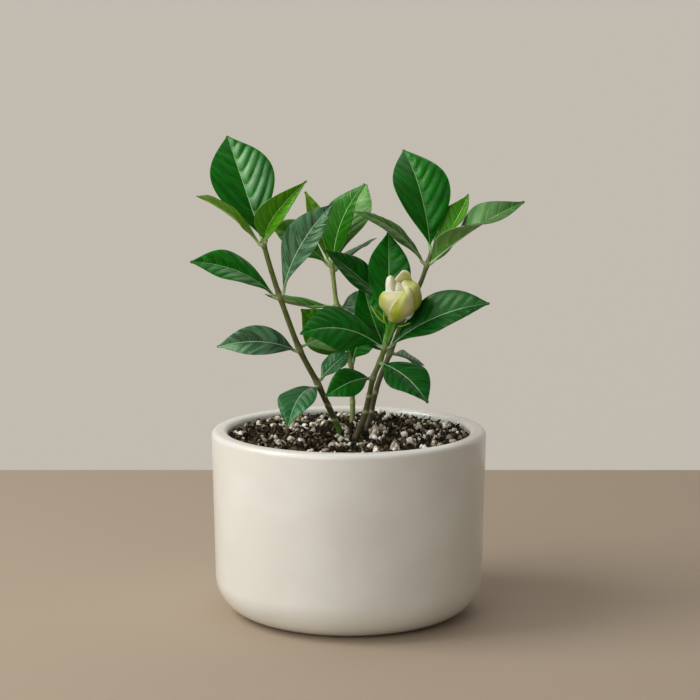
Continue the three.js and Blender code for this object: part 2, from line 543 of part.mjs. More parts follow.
// One petal as a solid of even thickness
function petalSolid(petal) {
  const around = (share) => [Math.max(share - PETAL_STEP, 0), Math.min(share + PETAL_STEP, 1)]
  const rows = Array.from({ length: PETAL_ROWS + 1 }, (_, i) => (
    Array.from({ length: PETAL_COLUMNS + 1 }, (__, j) => {
      const [u, v] = [j / PETAL_COLUMNS, i / PETAL_ROWS]
      const [[left, right], [low, high]] = [around(u), around(v)]
      const acrossIt = petalPoint(petal, right, v).sub(petalPoint(petal, left, v))
      const upIt = petalPoint(petal, u, high).sub(petalPoint(petal, u, low))
      return { point: petalPoint(petal, u, v), normal: acrossIt.cross(upIt).normalize() }
    })))
  return sheetSolid(rows, PETAL_THICKNESS)
}

// Points all over the petals, in the bud's own frame
function petalPoints() {
  const shares = Array.from({ length: ROOM_SAMPLES + 1 }, (_, i) => i / ROOM_SAMPLES)
  return PETALS.flatMap((petal) => shares.flatMap((u) => shares.map((v) => petalPoint(petal, u, v))))
}

// The space that the bud needs, round its axis, for the cup and sepals to keep clear of
function budRoom() {
  const points = petalPoints()
  const outline = Array.from({ length: ROOM_STEPS + 1 }, (_, i) => {
    const height = ROOM_HEIGHT * i / ROOM_STEPS
    const near = points.filter((point) => Math.abs(point.z - height) < ROOM_BAND)
    const reach = Math.max(...near.map((point) => Math.hypot(point.x, point.y)))
    return new THREE.Vector2(reach + PETAL_THICKNESS / 2 + 2 * CLEARANCE, height - PETAL_THICKNESS)
  })
  const profile = [new THREE.Vector2(0, -PETAL_THICKNESS), ...outline, new THREE.Vector2(0, ROOM_HEIGHT)]
  const room = new THREE.LatheGeometry(profile, ROOM_SIDES).rotateX(Math.PI / 2)
  return solidFromGeometry(room).transform(budPlace().elements)
}

// All petals round a small core, in one bloom
function budSolid() {
  const core = new THREE.SphereGeometry(1, CORE_SIDES, CORE_RINGS).rotateX(Math.PI / 2)
  core.scale(CORE_RADIUS, CORE_RADIUS, CORE_HEIGHT / 2).translate(CORE_SHIFT, 0, CORE_HEIGHT / 2)
  const bloom = wasm.Manifold.union([solidFromGeometry(core), ...PETALS.map(petalSolid)])
  return mainBody(bloom).transform(budPlace().elements)
}

// The green cup under the petals, with its narrow sepals
function calyxSolid() {
  const foot = vector(CALYX_FOOT)
  const axis = vector(BUD_AXIS).normalize()
  const top = vector(BUD_FOOT).addScaledVector(axis, CALYX_RISE)
  const bend = vector(BUD_FOOT).addScaledVector(axis, CALYX_BEND)
  const curve = new THREE.QuadraticBezierCurve3(foot, bend, top)
  const rings = CALYX_RADII.map((size, i) => {
    const share = i / (CALYX_RADII.length - 1)
    const ribbed = (j) => size * (j % 2 ? 1 - CALYX_RIB : 1 + CALYX_RIB)
    return ringAround(curve.getPoint(share), curve.getTangent(share), CALYX_SIDES, ribbed)
  })
  const hub = vector(BUD_FOOT).addScaledVector(axis, SEPAL_DROP)
  const sepals = SEPALS.map(({ reach, face }) => {
    const outward = vector([reach[0], reach[1], 0]).normalize()
    const start = hub.clone().addScaledVector(outward, SEPAL_START)
    const tip = start.clone().add(vector(reach))
    const blade = { ...SEPAL_SHAPE, tip: tip.toArray(), face }
    const rows = bladeRows(start, blade, SEPAL_WIDTH, SEPAL_STATIONS, SEPAL_NECK, SEPAL_NECK_HALF)
    return sheetSolid(rows, SEPAL_THICKNESS)
  })
  return wasm.Manifold.union([skinOfRings(rings), ...sepals]).subtract(budRoom())
}

const plant = new THREE.Group()
plant.add(meshOf('planter', potSolid(), FINISHES.planter))
let soil = soilSolid()
for (const name of Object.keys(STEMS)) {
  plant.add(meshOf(name, stemSolid(name), [STEMS[name].colour, STEM_ROUGHNESS]))
  soil = soil.subtract(stemSolid(name, CLEARANCE))
}
plant.add(meshOf('soil', mainBody(soil), FINISHES.soil))
for (const name of Object.keys(LEAVES)) {
  plant.add(meshOf(name, leafSolid(name), FINISHES.leaf))
}
plant.add(meshOf('calyx', calyxSolid(), FINISHES.calyx))
plant.add(meshOf('bud', budSolid(), FINISHES.bud))

export default plant
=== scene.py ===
# Potted gardenia: an off-white glazed planter with potting mix, four stems, thirty glossy
# leaves and one half-open bud. The tables are in millimetres, and meshes are scaled to metres.
import math
import random
from collections import namedtuple

import bmesh
import bpy
from bpy.props import FloatProperty, FloatVectorProperty, IntProperty, PointerProperty
from mathutils import Matrix, Vector, noise


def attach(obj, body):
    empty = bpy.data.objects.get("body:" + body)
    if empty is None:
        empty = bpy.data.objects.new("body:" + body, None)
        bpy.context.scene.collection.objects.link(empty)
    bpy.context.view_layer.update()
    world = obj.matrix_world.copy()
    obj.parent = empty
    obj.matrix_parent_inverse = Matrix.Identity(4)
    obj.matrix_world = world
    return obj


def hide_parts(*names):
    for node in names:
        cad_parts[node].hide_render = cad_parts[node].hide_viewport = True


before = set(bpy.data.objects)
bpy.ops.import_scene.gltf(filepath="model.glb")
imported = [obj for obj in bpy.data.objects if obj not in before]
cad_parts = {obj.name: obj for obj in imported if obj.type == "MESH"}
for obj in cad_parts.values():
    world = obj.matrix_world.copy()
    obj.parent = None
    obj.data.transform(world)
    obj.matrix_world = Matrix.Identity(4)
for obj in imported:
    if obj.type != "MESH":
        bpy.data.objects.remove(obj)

bl_info = {
    "name": "Potted Gardenia",
    "version": (1, 0, 0),
    "blender": (4, 5, 0),
    "location": "View3D > Sidebar > Gardenia",
    "description": "Dresses a potted gardenia: planter, potting mix, stems, leaves, calyx and bud",
    "category": "Add Mesh",
}

MM = 0.001

# The planter. A crease is the sharpest edge, in degrees, that is shaded smoothly.
POT_SIDE_RADIUS = 73.4
POT_CORNER = 20.6
POT_INNER_CORNER = 14
POT_FLOOR = 12
POT_RIM_ROUND = 3
POT_SIDES = 160
POT_CORNER_STEPS = 20
POT_EDGE_STEPS = 8
POT_CREASE = 40
RING_SLACK = 0.5
# The potting mix: it mounds, ripples and banks up against the wall by these heights, and the
# waves are the ripple's turns for each millimetre
SOIL_LEVEL = 97.3
SOIL_MOUND = 0.8
SOIL_RIPPLE = 0.9
SOIL_WAVES = (0.21, 0.17, 0.11)
SOIL_BANK = 0.9
SOIL_GAP = 0.3
SOIL_RINGS = 40
SOIL_CORNER_STEPS = 6
SOIL_CREASE = 35
CRUMB_OCTAVES = 3
CRUMB_MEAN = 0.6
# The grains on the mix. lift is how far a grain's middle lies above the bed, as a share of its
# size. With clumping, they gather in some places and leave others nearly bare.
Grain = namedtuple("Grain", "seed smallest largest flatness lift clumping")
GRAINS = {
    "bark": Grain(11, 0.4, 1.8, (0.4, 0.85), 0.3, 0),
    "chip": Grain(12, 1.4, 3.2, (0.3, 0.7), 0.3, 0.8),
    "twig": Grain(13, 2, 3.8, (0.12, 0.25), 0.4, 0),
    "perlite": Grain(23, 0.8, 2.3, (0.7, 1.0), 0.45, 1.2),
}
GRAIN_SMALLNESS = 1.8
GRAIN_ROUGHNESS = 0.5
GRAIN_BREAKS = (0.35, 0.6)
CLUMP_SPACING = 14
RIM_CLEARANCE = 0.6
# The broken shapes of a piece's grains: their seeds, their flat breaks and their crease
BARK_SHAPES, BARK_BREAKS, BARK_CREASE = range(6), 4, 40
PERLITE_SHAPES, PERLITE_BREAKS, PERLITE_CREASE = range(20, 25), 1, 80

# Each stem runs from inside the mix to its top node: its radius at foot and top, its points
Stem = namedtuple("Stem", "foot top points")
STEMS = {
    "stem_left": Stem(1.8, 1.3, [(-2, 3, 72), (-4, 3, 95), (-9, 1, 108), (-17, -2, 126), (-27, -5, 146),
                                 (-37, -8, 174), (-42, -10, 190), (-46, -12, 205)]),
    "stem_back": Stem(1.6, 1.2, [(2, 29, 72), (2, 30, 96), (2, 32, 111), (1, 35, 132), (-3, 38, 149),
                                 (-7, 41, 165), (-9, 43, 181), (-10, 44, 188)]),
    "stem_front": Stem(1.8, 1.3, [(-1, -6, 72), (3, -8, 95), (8, -10, 108), (11, -12, 121),
                                  (13, -14, 131), (17, -16, 141), (20, -18.5, 151)]),
    "stem_right": Stem(1.6, 1.2, [(6, 13, 72), (9, 14, 95), (12, 14, 106), (16, 14, 123), (23, 15, 141),
                                  (31, 16, 161), (39, 17, 178), (43, 18, 189), (46, 19, 197)]),
}
# A stem swells at its nodes and scars and flares at the mix, each by so much over a length,
# and is paler over the width of a node or scar
STEM_RINGS = 90
STEM_UNEVENNESS = 0.05
LUMPS_PER_MM = 0.35
# The last rings round a stem's tip: how far past it they lie, and their share of its radius
STEM_END = ((0.7, 0.75), (1.3, 0.2))
NODE_SWELLING = 0.35
NODE_LENGTH = 2.2
NODE_PALENESS = 0.3
NODE_WIDTH = 1.2
STEM_FLARE = 0.9
FLARE_TOP = 93
FLARE_LENGTH = 3
SCAR_SWELLING = 0.3
SCAR_LENGTH = 0.9
SCAR_WIDTH = 0.6
LEAF_SCARS = {"stem_left": [105.5, 114], "stem_back": [110], "stem_front": [112, 121],
              "stem_right": [108, 119]}

# A leaf leaves its stem at a height and ends at its tip. Its face is where its upper side
# looks, bow lifts its middle, sway bends it sideways, fold and twist are in degrees, and
# wide is how far along the blade its broadest place lies. Its tone names its finish.
Leaf = namedtuple("Leaf", "stem height tip width face bow sway fold twist wide tone")
Spine = namedtuple("Spine", "foot middle tip face length")
# The leaves of each stem in turn: the first of the left stem is leaf_left_1
STEM_LEAVES = {
    "left": [
        (205, (-66.1, 13.4, 259.7), 36.6, (0.18, -0.95, 0.26), 5.2, -0.8, 20, -3, 0.54, "deep"),
        (203, (-78.8, -40.7, 230.6), 21.1, (0.38, -0.3, 0.87), 2.1, 3.1, 16, -16, 0.53, "fresh"),
        (204, (-21.7, -39.4, 238.5), 21.3, (-0.23, -0.95, 0.22), 10.6, 0.1, 48, -22, 0.49, "young"),
        (174, (-84.2, -20.7, 194.3), 23, (0.32, -0.54, 0.78), 5.4, 1.6, 17, 25, 0.57, "deep"),
        (175, (-8.5, -11.8, 224.4), 23.3, (-0.52, -0.81, 0.27), 6.4, -0.6, 26, -37, 0.56, "silver"),
        (145, (-70.9, -12.5, 147.6), 19.2, (0.21, -0.91, 0.36), 9.8, 1.8, 32, 18, 0.51, "silver"),
        (146, (-3.8, 21.5, 153.9), 20.7, (0.06, -0.99, 0.16), 3.1, 0.6, 14, -1, 0.57, "light"),
        (125, (-32.2, -33.8, 107.9), 22, (-0.28, -0.57, 0.77), 6.3, 0.5, 13, 0, 0.54, "dusky"),
        (127, (0.6, 7.1, 142.1), 16.3, (-0.53, -0.59, 0.61), 0.3, -0.8, 14, -1, 0.52, "dusky"),
    ],
    "back": [
        (188, (8.9, 34.6, 232.5), 25.6, (-0.6, -0.68, 0.42), 4.1, -1.6, 23, 28, 0.47, "bright"),
        (185, (10.3, 59.5, 230.4), 28, (-0.49, -0.79, 0.36), 4, -0.2, 15, -13, 0.59, "light"),
        (187, (-24.8, 53.9, 226.8), 14, (0.5, -0.76, 0.41), 1.9, 0.2, 16, 0, 0.52, "fresh"),
        (186, (-43.2, 31.3, 209.1), 24.6, (0.35, -0.68, 0.64), 0.7, 2.1, 14, 7, 0.58, "young"),
        (183, (15.7, 77.2, 198.4), 20.1, (-0.67, -0.3, 0.67), 1.1, -0.5, 12, -8, 0.52, "dusky"),
        (164, (-46.7, 28.9, 171.5), 21.6, (0.13, -0.13, 0.98), -3.3, 0.9, 20, -31, 0.57, "olive"),
        (163, (21.1, 55.9, 171.7), 22.4, (-0.25, -0.71, 0.66), -5, 1, 6, 1, 0.49, "silver"),
        (132, (24.5, 25.5, 151.7), 18.7, (-0.26, -0.86, 0.44), 6.5, -3.9, 16, 2, 0.49, "deep"),
        (133, (-26.6, 24.1, 163.6), 25.3, (0.25, -0.92, 0.3), 0.7, 0.3, 10, 1, 0.55, "young"),
    ],
    "front": [
        (148, (-25.7, -33.8, 157.6), 28.3, (0.03, -0.75, 0.66), 3.5, 5.4, 3, -4, 0.55, "dark"),
        (149, (21.4, 15.5, 207.2), 24.9, (0.26, -0.93, 0.26), -0.3, 1.4, 11, 2, 0.62, "deep"),
        (148.5, (74, -34.6, 173.9), 29.2, (-0.16, -0.65, 0.75), 3.5, -3.1, 22, 8, 0.57, "forest"),
        (140, (41.1, -51.3, 123.8), 23, (0.22, -0.82, 0.53), 2.9, -1.6, 9, 9, 0.49, "forest"),
        (131, (-12.6, -32.4, 123.8), 16.8, (0.02, -0.91, 0.41), 4.6, 1.1, 17, -2, 0.54, "dark"),
    ],
    "right": [
        (140, (7.2, 17.8, 181.6), 23.5, (0.15, -0.93, 0.32), 5.5, -2.8, 18, -3, 0.4, "deep"),
        (141, (42.1, 32.3, 131), 14.6, (0.04, -0.45, 0.9), 0.5, 0, 11, -4, 0.53, "dusky"),
        (161, (-12.9, 3.2, 198.4), 21.3, (-0.08, -0.53, 0.85), 1.2, -0.8, 18, 11, 0.59, "dark"),
        (197, (30.3, 46.9, 250.7), 34.9, (0.31, -0.91, 0.27), 8.2, -0.2, 22, 14, 0.51, "deep"),
        (196, (66.1, 30.1, 226.9), 24.5, (-0.26, -0.38, 0.89), 0.2, 2.5, 37, -27, 0.42, "young"),
        (190, (95.4, 8.1, 224.3), 30.5, (-0.09, -0.18, 0.98), 4.2, 6, 33, -112, 0.44, "pale"),
        (189, (1.9, 6.2, 219.1), 18.5, (0.58, -0.29, 0.76), 4.4, 2.6, 5, -10, 0.49, "olive"),
    ],
}
LEAVES = {f"leaf_{side}_{i + 1}": Leaf("stem_" + side, *row)
          for side, rows in STEM_LEAVES.items() for i, row in enumerate(rows)}
STALK_LENGTH = 1.5
BLADE_START = 0.75 * STALK_LENGTH
STALK_GAP = 0.3
STALK_SUNK = 1.2
STALK_FOOT = 1.1
LEAF_POINTEDNESS = 1.15
LEAF_CAMBER = 0.1
LEAF_WAVE = 0.5
LEAF_WAVES = 2.2
LEAF_CREASE = 60
LEAF_COLUMNS = 28
LEAF_CROWDING = 1.5
LEAF_ROWS = 84
TIP_HALF = 0.45
TIP_ROUND = 0.9
VEIN_SLANT = 0.65
VEIN_CURVE = 0.035
VEIN_PAIRS = 8
VEIN_SHIFT = 0.3
VEIN_START = 4
FOLD_ROUNDING = 0.5
QUILT_LEFT = 0.4
# The midrib thickens towards the stem: by how much, and the length over which that fades
RIB_SWELLINGS = ((0.42, 22), (0.45, 2.2))
RIB_RADIUS = 0.3
RIB_STEPS = 30
RIB_END = 0.95
RIB_RISE = 0.13

# The tones of leaf: upper side, its lighter patches, which are partly its own streaks and partly painted
# sheen on the raised quilts, its veins and its underside
TONES = {
    "deep": ("#064A04", "#0F7A0E", "#58A03C", "#4C7B3C"),
    "dark": ("#044604", "#0C6C0E", "#3E8634", "#35603A"),
    "forest": ("#03380A", "#085612", "#3E8636", "#35603A"),
    "bright": ("#145802", "#2C7E08", "#82B846", "#6E9C40"),
    "young": ("#347C06", "#4E9210", "#A2C658", "#80A84A"),
    "fresh": ("#629E18", "#7EB428", "#B4CE6C", "#94B45C"),
    "pale": ("#3A6C30", "#588446", "#92BE7C", "#64A43E"),
    "light": ("#52923C", "#86BA6C", "#B4D49C", "#7CA66C"),
    "dusky": ("#0C5020", "#1C6430", "#6C9C70", "#557F5C"),
    # This tone's pale patches are painted sheen: a grey-green that stands in for the gloss catching the
    # light on its leaves
    "silver": ("#062C12", "#60926A", "#A2C4A6", "#658E6A"),
    "olive": ("#225C08", "#467A1E", "#8C9E60", "#6C7440"),
}
# The tones whose wax is thin, so that they shine less
THIN_WAX = ("dark", "forest", "bright", "young", "fresh", "olive")
YOUNG_LEAVES = ("leaf_left_2", "leaf_left_3", "leaf_left_7", "leaf_back_1", "leaf_back_2",
                "leaf_back_3", "leaf_right_5")
# How much painted sheen, a pale grey-green that stands in for the gloss catching the light, lies over the
# left and the right half of a leaf's upper side
PAINTED_SHEEN = {
    "leaf_left_1": (0, 0.8), "leaf_left_4": (0.5, 0), "leaf_left_7": (0.6, 0.6),
    "leaf_left_8": (0.3, 0.15), "leaf_left_9": (0.2, 0.1), "leaf_back_4": (0.4, 0.1),
    "leaf_front_2": (0, 0.25), "leaf_right_2": (0.8, 0.8), "leaf_right_4": (0, 0.08),
}

# The bud stands on the front stem. Each of its petals is listed in rows from its foot to its
# lip, across it from one side to the other, as places in the bud's own frame: to the right,
# to the back and up along its axis. green is how green it is across its foot and its lip,
# partly its own yellow-green and partly painted shade where it faces away from the light.
BUD_FOOT = (23.3, -20.5, 162.5)
BUD_AXIS = (0.2, -0.24, 0.95)
Petal = namedtuple("Petal", "green rows")
PETALS = {
    "back": Petal(((0.9, 0.9, 1, 1, 1), (0.3, 0.25, 0.6, 0.8, 0.7)), [
        [(-2.1, 1.2, 1), (-1.2, 2.1, 1), (0, 2.4, 1), (1.2, 2.1, 1), (2.1, 1.2, 1)],
        [(-2.5, 5, 8.9), (0.4, 8, 8.3), (3.6, 9.5, 8.3), (6.5, 9, 9.1), (9.1, 6, 10.9)],
        [(-3.3, 3.2, 16.9), (-1.1, 3.4, 17.7), (1.4, 4.6, 17.9), (4.4, 5.4, 18.4), (7.8, 5.4, 18.7)],
        [(-3.3, 3.8, 20.4), (-2.1, 3, 22.1), (0.6, 3.7, 23.3), (3.7, 4.6, 23.4), (6.4, 5.4, 21.7)],
        [(-3.2, 4.6, 21.7), (-2.3, 3.4, 25.3), (-0.1, 3.8, 28.3), (3, 4.4, 27.7), (5.2, 5, 24.2)]]),
    "left_back": Petal(((0.2, 0.2, 0.2, 0.2, 0.3), (0, 0, 0.05, 0.3, 0.5)), [
        [(-1.4, -2, 1), (-2.1, -1.2, 1), (-2.4, -0.2, 1), (-2.3, 0.8, 1), (-1.7, 1.7, 1)],
        [(-7.3, -2, 10.6), (-5.9, -5, 12.1), (-4, -6, 12.9), (-1.8, -6, 13.3), (0.3, -4, 13)],
        [(-7.1, -0.8, 16.4), (-6.4, -2.2, 17.3), (-5, -2.8, 18.1), (-3.3, -2.4, 18.2), (-1.6, -1, 17.8)],
        [(-7.7, 0.6, 19.9), (-7.4, -0.8, 21.3), (-6.1, -1.6, 22.3), (-4.5, -1.2, 22.1), (-3.1, 0, 20.7)],
        [(-7.8, 1.8, 21.7), (-7.6, 1, 23.8), (-6.6, 0.6, 25.1), (-5, 1, 24.4), (-3.4, 1.8, 22)]]),
    "inner": Petal(((0.4, 0.4, 0.4, 0.4, 0.4), (0.05, 0.1, 0.3, 0.5, 0.5)), [
        [(-2.1, -1.2, 1), (-1.4, -2, 1), (-0.4, -2.4, 1), (0.6, -2.3, 1), (1.5, -1.8, 1)],
        [(-3.5, -5, 12.6), (-1.4, -6.4, 13.6), (0.7, -7, 14.3), (3, -7, 14.7), (4.9, -6, 14.7)],
        [(-3.4, -2.2, 16.9), (-1.9, -3.4, 17.7), (-0, -3.8, 18.2), (1.9, -4, 18.3), (3.6, -4.6, 18.3)],
        [(-3.5, -0.4, 19.9), (-2.3, -1.6, 20.8), (-0.8, -2, 20.9), (1.1, -2.4, 20.4), (2.9, -3, 19.8)],
        [(-3.5, 1.2, 21.4), (-2.1, 1, 21.9), (-0.2, 0.4, 21.7), (1.3, -0.6, 21.2), (2.6, -1.8, 20.4)]]),
    "right": Petal(((1.2, 1.2, 1.3, 1.2, 1), (0.7, 0.7, 0.75, 0.8, 0.8)), [
        [(1.4, -2.4, 1), (2.5, -1.2, 1), (2.8, 0.2, 1), (2.1, 1.8, 1), (0.7, 2.7, 1)],
        [(6.4, -6.5, 8), (8.6, -5.2, 9.4), (10.3, -1, 9.4), (10.1, 4, 8.5), (7.7, 6.4, 8.7)],
        [(5.7, -8.2, 13.7), (9.6, -6, 14.4), (12.1, -1, 14.6), (11.4, 4.4, 13.6), (8.3, 8, 13.2)],
        [(4.9, -7.6, 18.3), (8.3, -5, 19.6), (10.8, -0.5, 19.2), (10, 5, 18.5), (7.2, 8, 18.4)],
        [(4.3, -6, 20.2), (6.1, -3.6, 22.1), (7.9, 0, 23), (7.1, 3.8, 22.6), (4.7, 6, 22.5)],
        [(2.9, -3.4, 20.5), (1, -2, 21.1), (-0.2, 0, 21.7), (0.9, 2.5, 22.6), (3.4, 4.6, 23)]]),
    "left": Petal(((1, 1, 0.9, 0.45, 0.6), (0.85, 0.9, 0.65, 0.3, 0.4)), [
        [(-1.6, 2.3, 1), (-2.7, 0.7, 1), (-2.6, -1, 1), (-1.6, -2.3, 1), (-0, -2.8, 1)],
        [(-2.6, 4, 3.8), (-4.7, -1, 4.9), (-3.4, -5, 5.3), (-0.8, -7, 6), (2.7, -7.4, 6.9)],
        [(-6.2, 5, 8.1), (-8.7, -1, 8.3), (-6.4, -6.5, 9.9), (-2.1, -9, 11.1), (2.1, -9, 12.8)],
        [(-6.5, 5, 11.3), (-9.5, -1.5, 13.3), (-7.2, -6.8, 15), (-2.8, -9, 16), (2.5, -8.6, 16.9)],
        [(-5.8, 3, 15.4), (-8.2, -1, 15.9), (-6.1, -3.5, 17.9), (-2.1, -4.5, 18.8), (3, -3.4, 19.3)]]),
    "front": Petal(((1.1, 1.3, 1.0, 0.6, 0.7), (1.0, 1.0, 0.45, 0.35, 0.6)), [
        [(-0.8, -2.8, 0.8), (-0, -2.9, 0.8), (0.8, -2.8, 0.8), (1.5, -2.5, 0.8), (2.1, -2.1, 0.8)],
        [(-1.9, -7.4, 5), (-0.3, -8.4, 4.6), (1.4, -8.8, 5.4), (3.5, -8.5, 6.5), (6, -7.2, 7.5)],
        [(-3.6, -9.9, 8.7), (-1, -11, 9.1), (2.2, -11.6, 10.3), (5.2, -10.6, 11.2), (8.1, -8, 11.6)],
        [(-3.4, -10.3, 12.6), (-0.4, -11.2, 13.6), (2.2, -12, 15.1), (5, -10.8, 15.4), (7.6, -8.6, 15.7)],
        [(-0.6, -9.8, 17.6), (1, -10.5, 18.2), (2.2, -11.2, 18.9), (4.4, -10.2, 19.2), (6.6, -8.2, 18.9)],
        [(1.2, -7.6, 19.8), (2, -8, 20.3), (2.7, -8.2, 20.7), (4.1, -7.6, 21.1), (5.4, -6.6, 20.9)],
        [(2.5, -4.6, 20.9), (2.4, -4.6, 21.6), (2.5, -4.5, 22.1), (3, -4.3, 22.4), (3.7, -4.2, 22.1)]]),
    "low": Petal(((0.1, 0.1, 0.1, 0.1, 0.1), (0.1, 0.1, 0.1, 0.1, 0.1)), [
        [(1, -2.8, 0.6), (1.7, -2.5, 0.6), (2.3, -1.9, 0.6), (2.7, -1.3, 0.6), (3, -0.5, 0.6)],
        [(4.9, -6.2, 5.9), (6.3, -6, 6.3), (7.5, -5.4, 7.1), (8.3, -4.4, 7.9), (8.9, -3, 9)],
        [(5.9, -6.8, 5.6), (7.5, -6.6, 5.5), (8.5, -5.8, 6.7), (9.1, -4.8, 8.1), (9.4, -3.4, 9.2)]]),
}
PETAL_GRID = 28
BUD_CREASE = 70
CORE_RADIUS = 6
CORE_HEIGHT = 21
CORE_SHIFT = 0.6
CORE_RIDGE = 0.07
CORE_TURNS = 0.6
# How green the core is: partly its own tint, partly painted shade on its side away from the light
CORE_GREEN_AND_SHADE = 0.35
CORE_RIM = 0.5
CALYX_FOOT = (20.2, -18.7, 151.5)
CALYX_BEND = -5
CALYX_RISE = 1
CALYX_RADII = (1.4, 1.7, 2.3, 3.1, 3.5)
CALYX_CREASE = 60
CALYX_STEPS = 24
CALYX_RIBS = 6
CALYX_RIB_HEIGHT = 0.13
CUP_RIM = 0.2
SEPAL_THICKNESS = 0.7
SEPAL_WIDTH = 4
SEPAL_DROP = -2
SEPAL_START = 1.6
SEPAL_BOW = -0.9
SEPAL_WIDE = 0.4
SEPAL_STALK = 0.5
# A sepal's least half width towards its foot and towards its tip, and how it is folded: the
# share of its half width that is left, and the share by which its edges rise
SEPAL_ENDS = (0.8, 0.25)
SEPAL_FOLD = (0.95, 0.3)
SEPAL_GRID = (8, 20)
SEPALS = [((-9.9, -1, 10.8), (0.45, -0.8, 0.5)), ((8.2, -2, 1.5), (0.1, -0.35, 0.95)),
          ((-3.4, -4.6, 6.5), (-0.2, -0.7, 0.5)), ((5.5, 6, 6.5), (-0.6, -0.7, 0.8)),
          ((-3.5, 8, 6), (0.4, -0.9, 0.8))]

# The camera was fitted to the planter's outline in the photograph's square frame
VIEW_ANGLE = 20
VIEW_PLACE = (0.0006, -1.068, 0.300)
VIEW_PITCH = 8.3
BACKDROP_PLACE = 1.6
BACKDROP_SIZE = 5
# The lights: where they stand, what they look at, their size in metres and their colour
LIGHTS = {
    "key": ((-1.05, -0.12, 1.22), (0, 0, 0.12), (0.8, 0.8), "#FFFBF6"),
    "window": ((-1.05, -1.1, 0.75), (0, 0, 0.16), (1.9, 1.2), "#FFFFFF"),
    "top": ((0.3, 0.5, 1.3), (0, 0, 0.15), (0.8, 0.8), "#F4F6FF"),
}

# A short name for a kind of shader node: its type in Blender, the inputs or settings that the
# values after the name fill in turn, the output that is handed on, and what it is always set to
NODES = {
    "place": ("TexCoord", (), "Object", {}),
    "attribute": ("Attribute", ("attribute_name",), "Fac", {}),
    "noise": ("TexNoise", ("Vector", "Scale", "Detail", "Roughness"), "Fac", {}),
    "net": ("TexVoronoi", ("Vector", "Scale"), "Distance", {"feature": "DISTANCE_TO_EDGE"}),
    "ramp": ("MapRange", ("Value", "From Min", "From Max", "To Min", "To Max"), 0,
             {"interpolation_type": "SMOOTHSTEP"}),
    "blend": ("Mix", (0, 6, 7), 2, {"data_type": "RGBA"}),
    "sum": ("Math", (0, 1), 0, {"operation": "ADD"}),
    "product": ("Math", (0, 1), 0, {"operation": "MULTIPLY"}),
    "fraction": ("Math", (0,), 0, {"operation": "FRACT"}),
    "zigzag": ("Math", (0, 1), 0, {"operation": "PINGPONG"}),
    "vector": ("CombineXYZ", (0, 1), 0, {}),
    "vector_sum": ("VectorMath", (0, 1), 0, {"operation": "ADD"}),
    "vector_scale": ("VectorMath", (0, "Scale"), 0, {"operation": "SCALE"}),
    "stretch": ("Mapping", ("Vector", "Scale"), 0, {}),
    "bump": ("Bump", ("Height", "Strength", "Distance"), 0, {}),
    "shader": ("BsdfPrincipled", (), 0, {}),
    "output": ("OutputMaterial", ("Surface",), None, {}),
}


def linear(code):
    """A colour given as an sRGB hex value, turned to linear red, green, blue and alpha."""
    shares = [int(code[i:i + 2], 16) / 255 for i in (1, 3, 5)]
    return [s / 12.92 if s <= 0.04045 else ((s + 0.055) / 1.055) ** 2.4 for s in shares] + [1.0]


def per_mm(size):
    """The texture scale that gives a pattern features of this size in millimetres."""
    return 1 / (size * MM)


def add(finish, kind, *values, **named):
    """Adds a node to a material and hands on its output. Its settings and inputs are given in
    the order of NODES or by name, and an input is a number, a hex colour or a link."""
    blender_type, order, output, settings = NODES[kind]
    tree = finish.node_tree
    made = tree.nodes.new("ShaderNode" + blender_type)
    for key, value in {**settings, **dict(zip(order, values)), **named}.items():
        if hasattr(made, str(key)):
            setattr(made, key, value)
            continue
        socket = made.inputs[key if isinstance(key, int) else key.replace("_", " ")]
        if isinstance(value, bpy.types.NodeSocket):
            tree.links.new(value, socket)
        else:
            socket.default_value = linear(value) if isinstance(value, str) else value
    return None if output is None else made.outputs[output]


def paint(finish, colour, *layers):
    """A colour with others laid over it. Each layer gives its colour, the share of it that
    shows, and the limits of the ramp that turns a pattern into that share, if it needs one."""
    for over, share, *limits in layers:
        if limits:
            share = add(finish, "ramp", share, *limits)
        colour = add(finish, "blend", share, colour, over)
    return colour


def open_finish(name):
    """A new material with no nodes."""
    finish = bpy.data.materials.new(name)
    finish.use_nodes = True
    finish.node_tree.nodes.clear()
    return finish


def close_finish(finish, **sockets):
    """Ends a material with one shader, whose sockets are set or linked by name."""
    add(finish, "output", add(finish, "shader", **sockets))
    return finish


def glazed_stoneware():
    """Stoneware under a satin off-white glaze, slip-cast and fired: soft broad highlights."""
    finish = open_finish("glazed_stoneware")
    place = add(finish, "place")
    cloud = add(finish, "noise", place, per_mm(38), 3)
    speck = add(finish, "noise", place, per_mm(1.1))
    colour = paint(finish, "#EEEEE8", ("#E8E7DF", cloud, 0.35, 0.65),
                   ("#C9BFA9", speck, 0.72, 0.8, 0, 0.25))
    # The glaze pooled in waves about 20 mm long and 0.1 mm high as it ran before firing
    pool = add(finish, "noise", place, per_mm(20), 1)
    return close_finish(
        finish, Base_Color=colour, Roughness=add(finish, "ramp", cloud, 0.3, 0.7, 0.3, 0.42),
        IOR=1.5, Coat_Weight=0.55, Coat_Roughness=0.1,
        Normal=add(finish, "bump", pool, 0.25, 0.4 * MM))


def damp_peat():
    """Milled peat, damp: near black with brown fibres, matt with a few wet glints."""
    finish = open_finish("damp_peat")
    crumb = add(finish, "noise", add(finish, "place"), per_mm(2.2), 4, 0.7)
    colour = paint(finish, "#0A0803", ("#2C2512", crumb, 0.4, 0.62))
    return close_finish(finish, Base_Color=colour, Roughness=0.85, IOR=1.3,
                        Normal=add(finish, "bump", crumb, 0.9, 0.8 * MM))


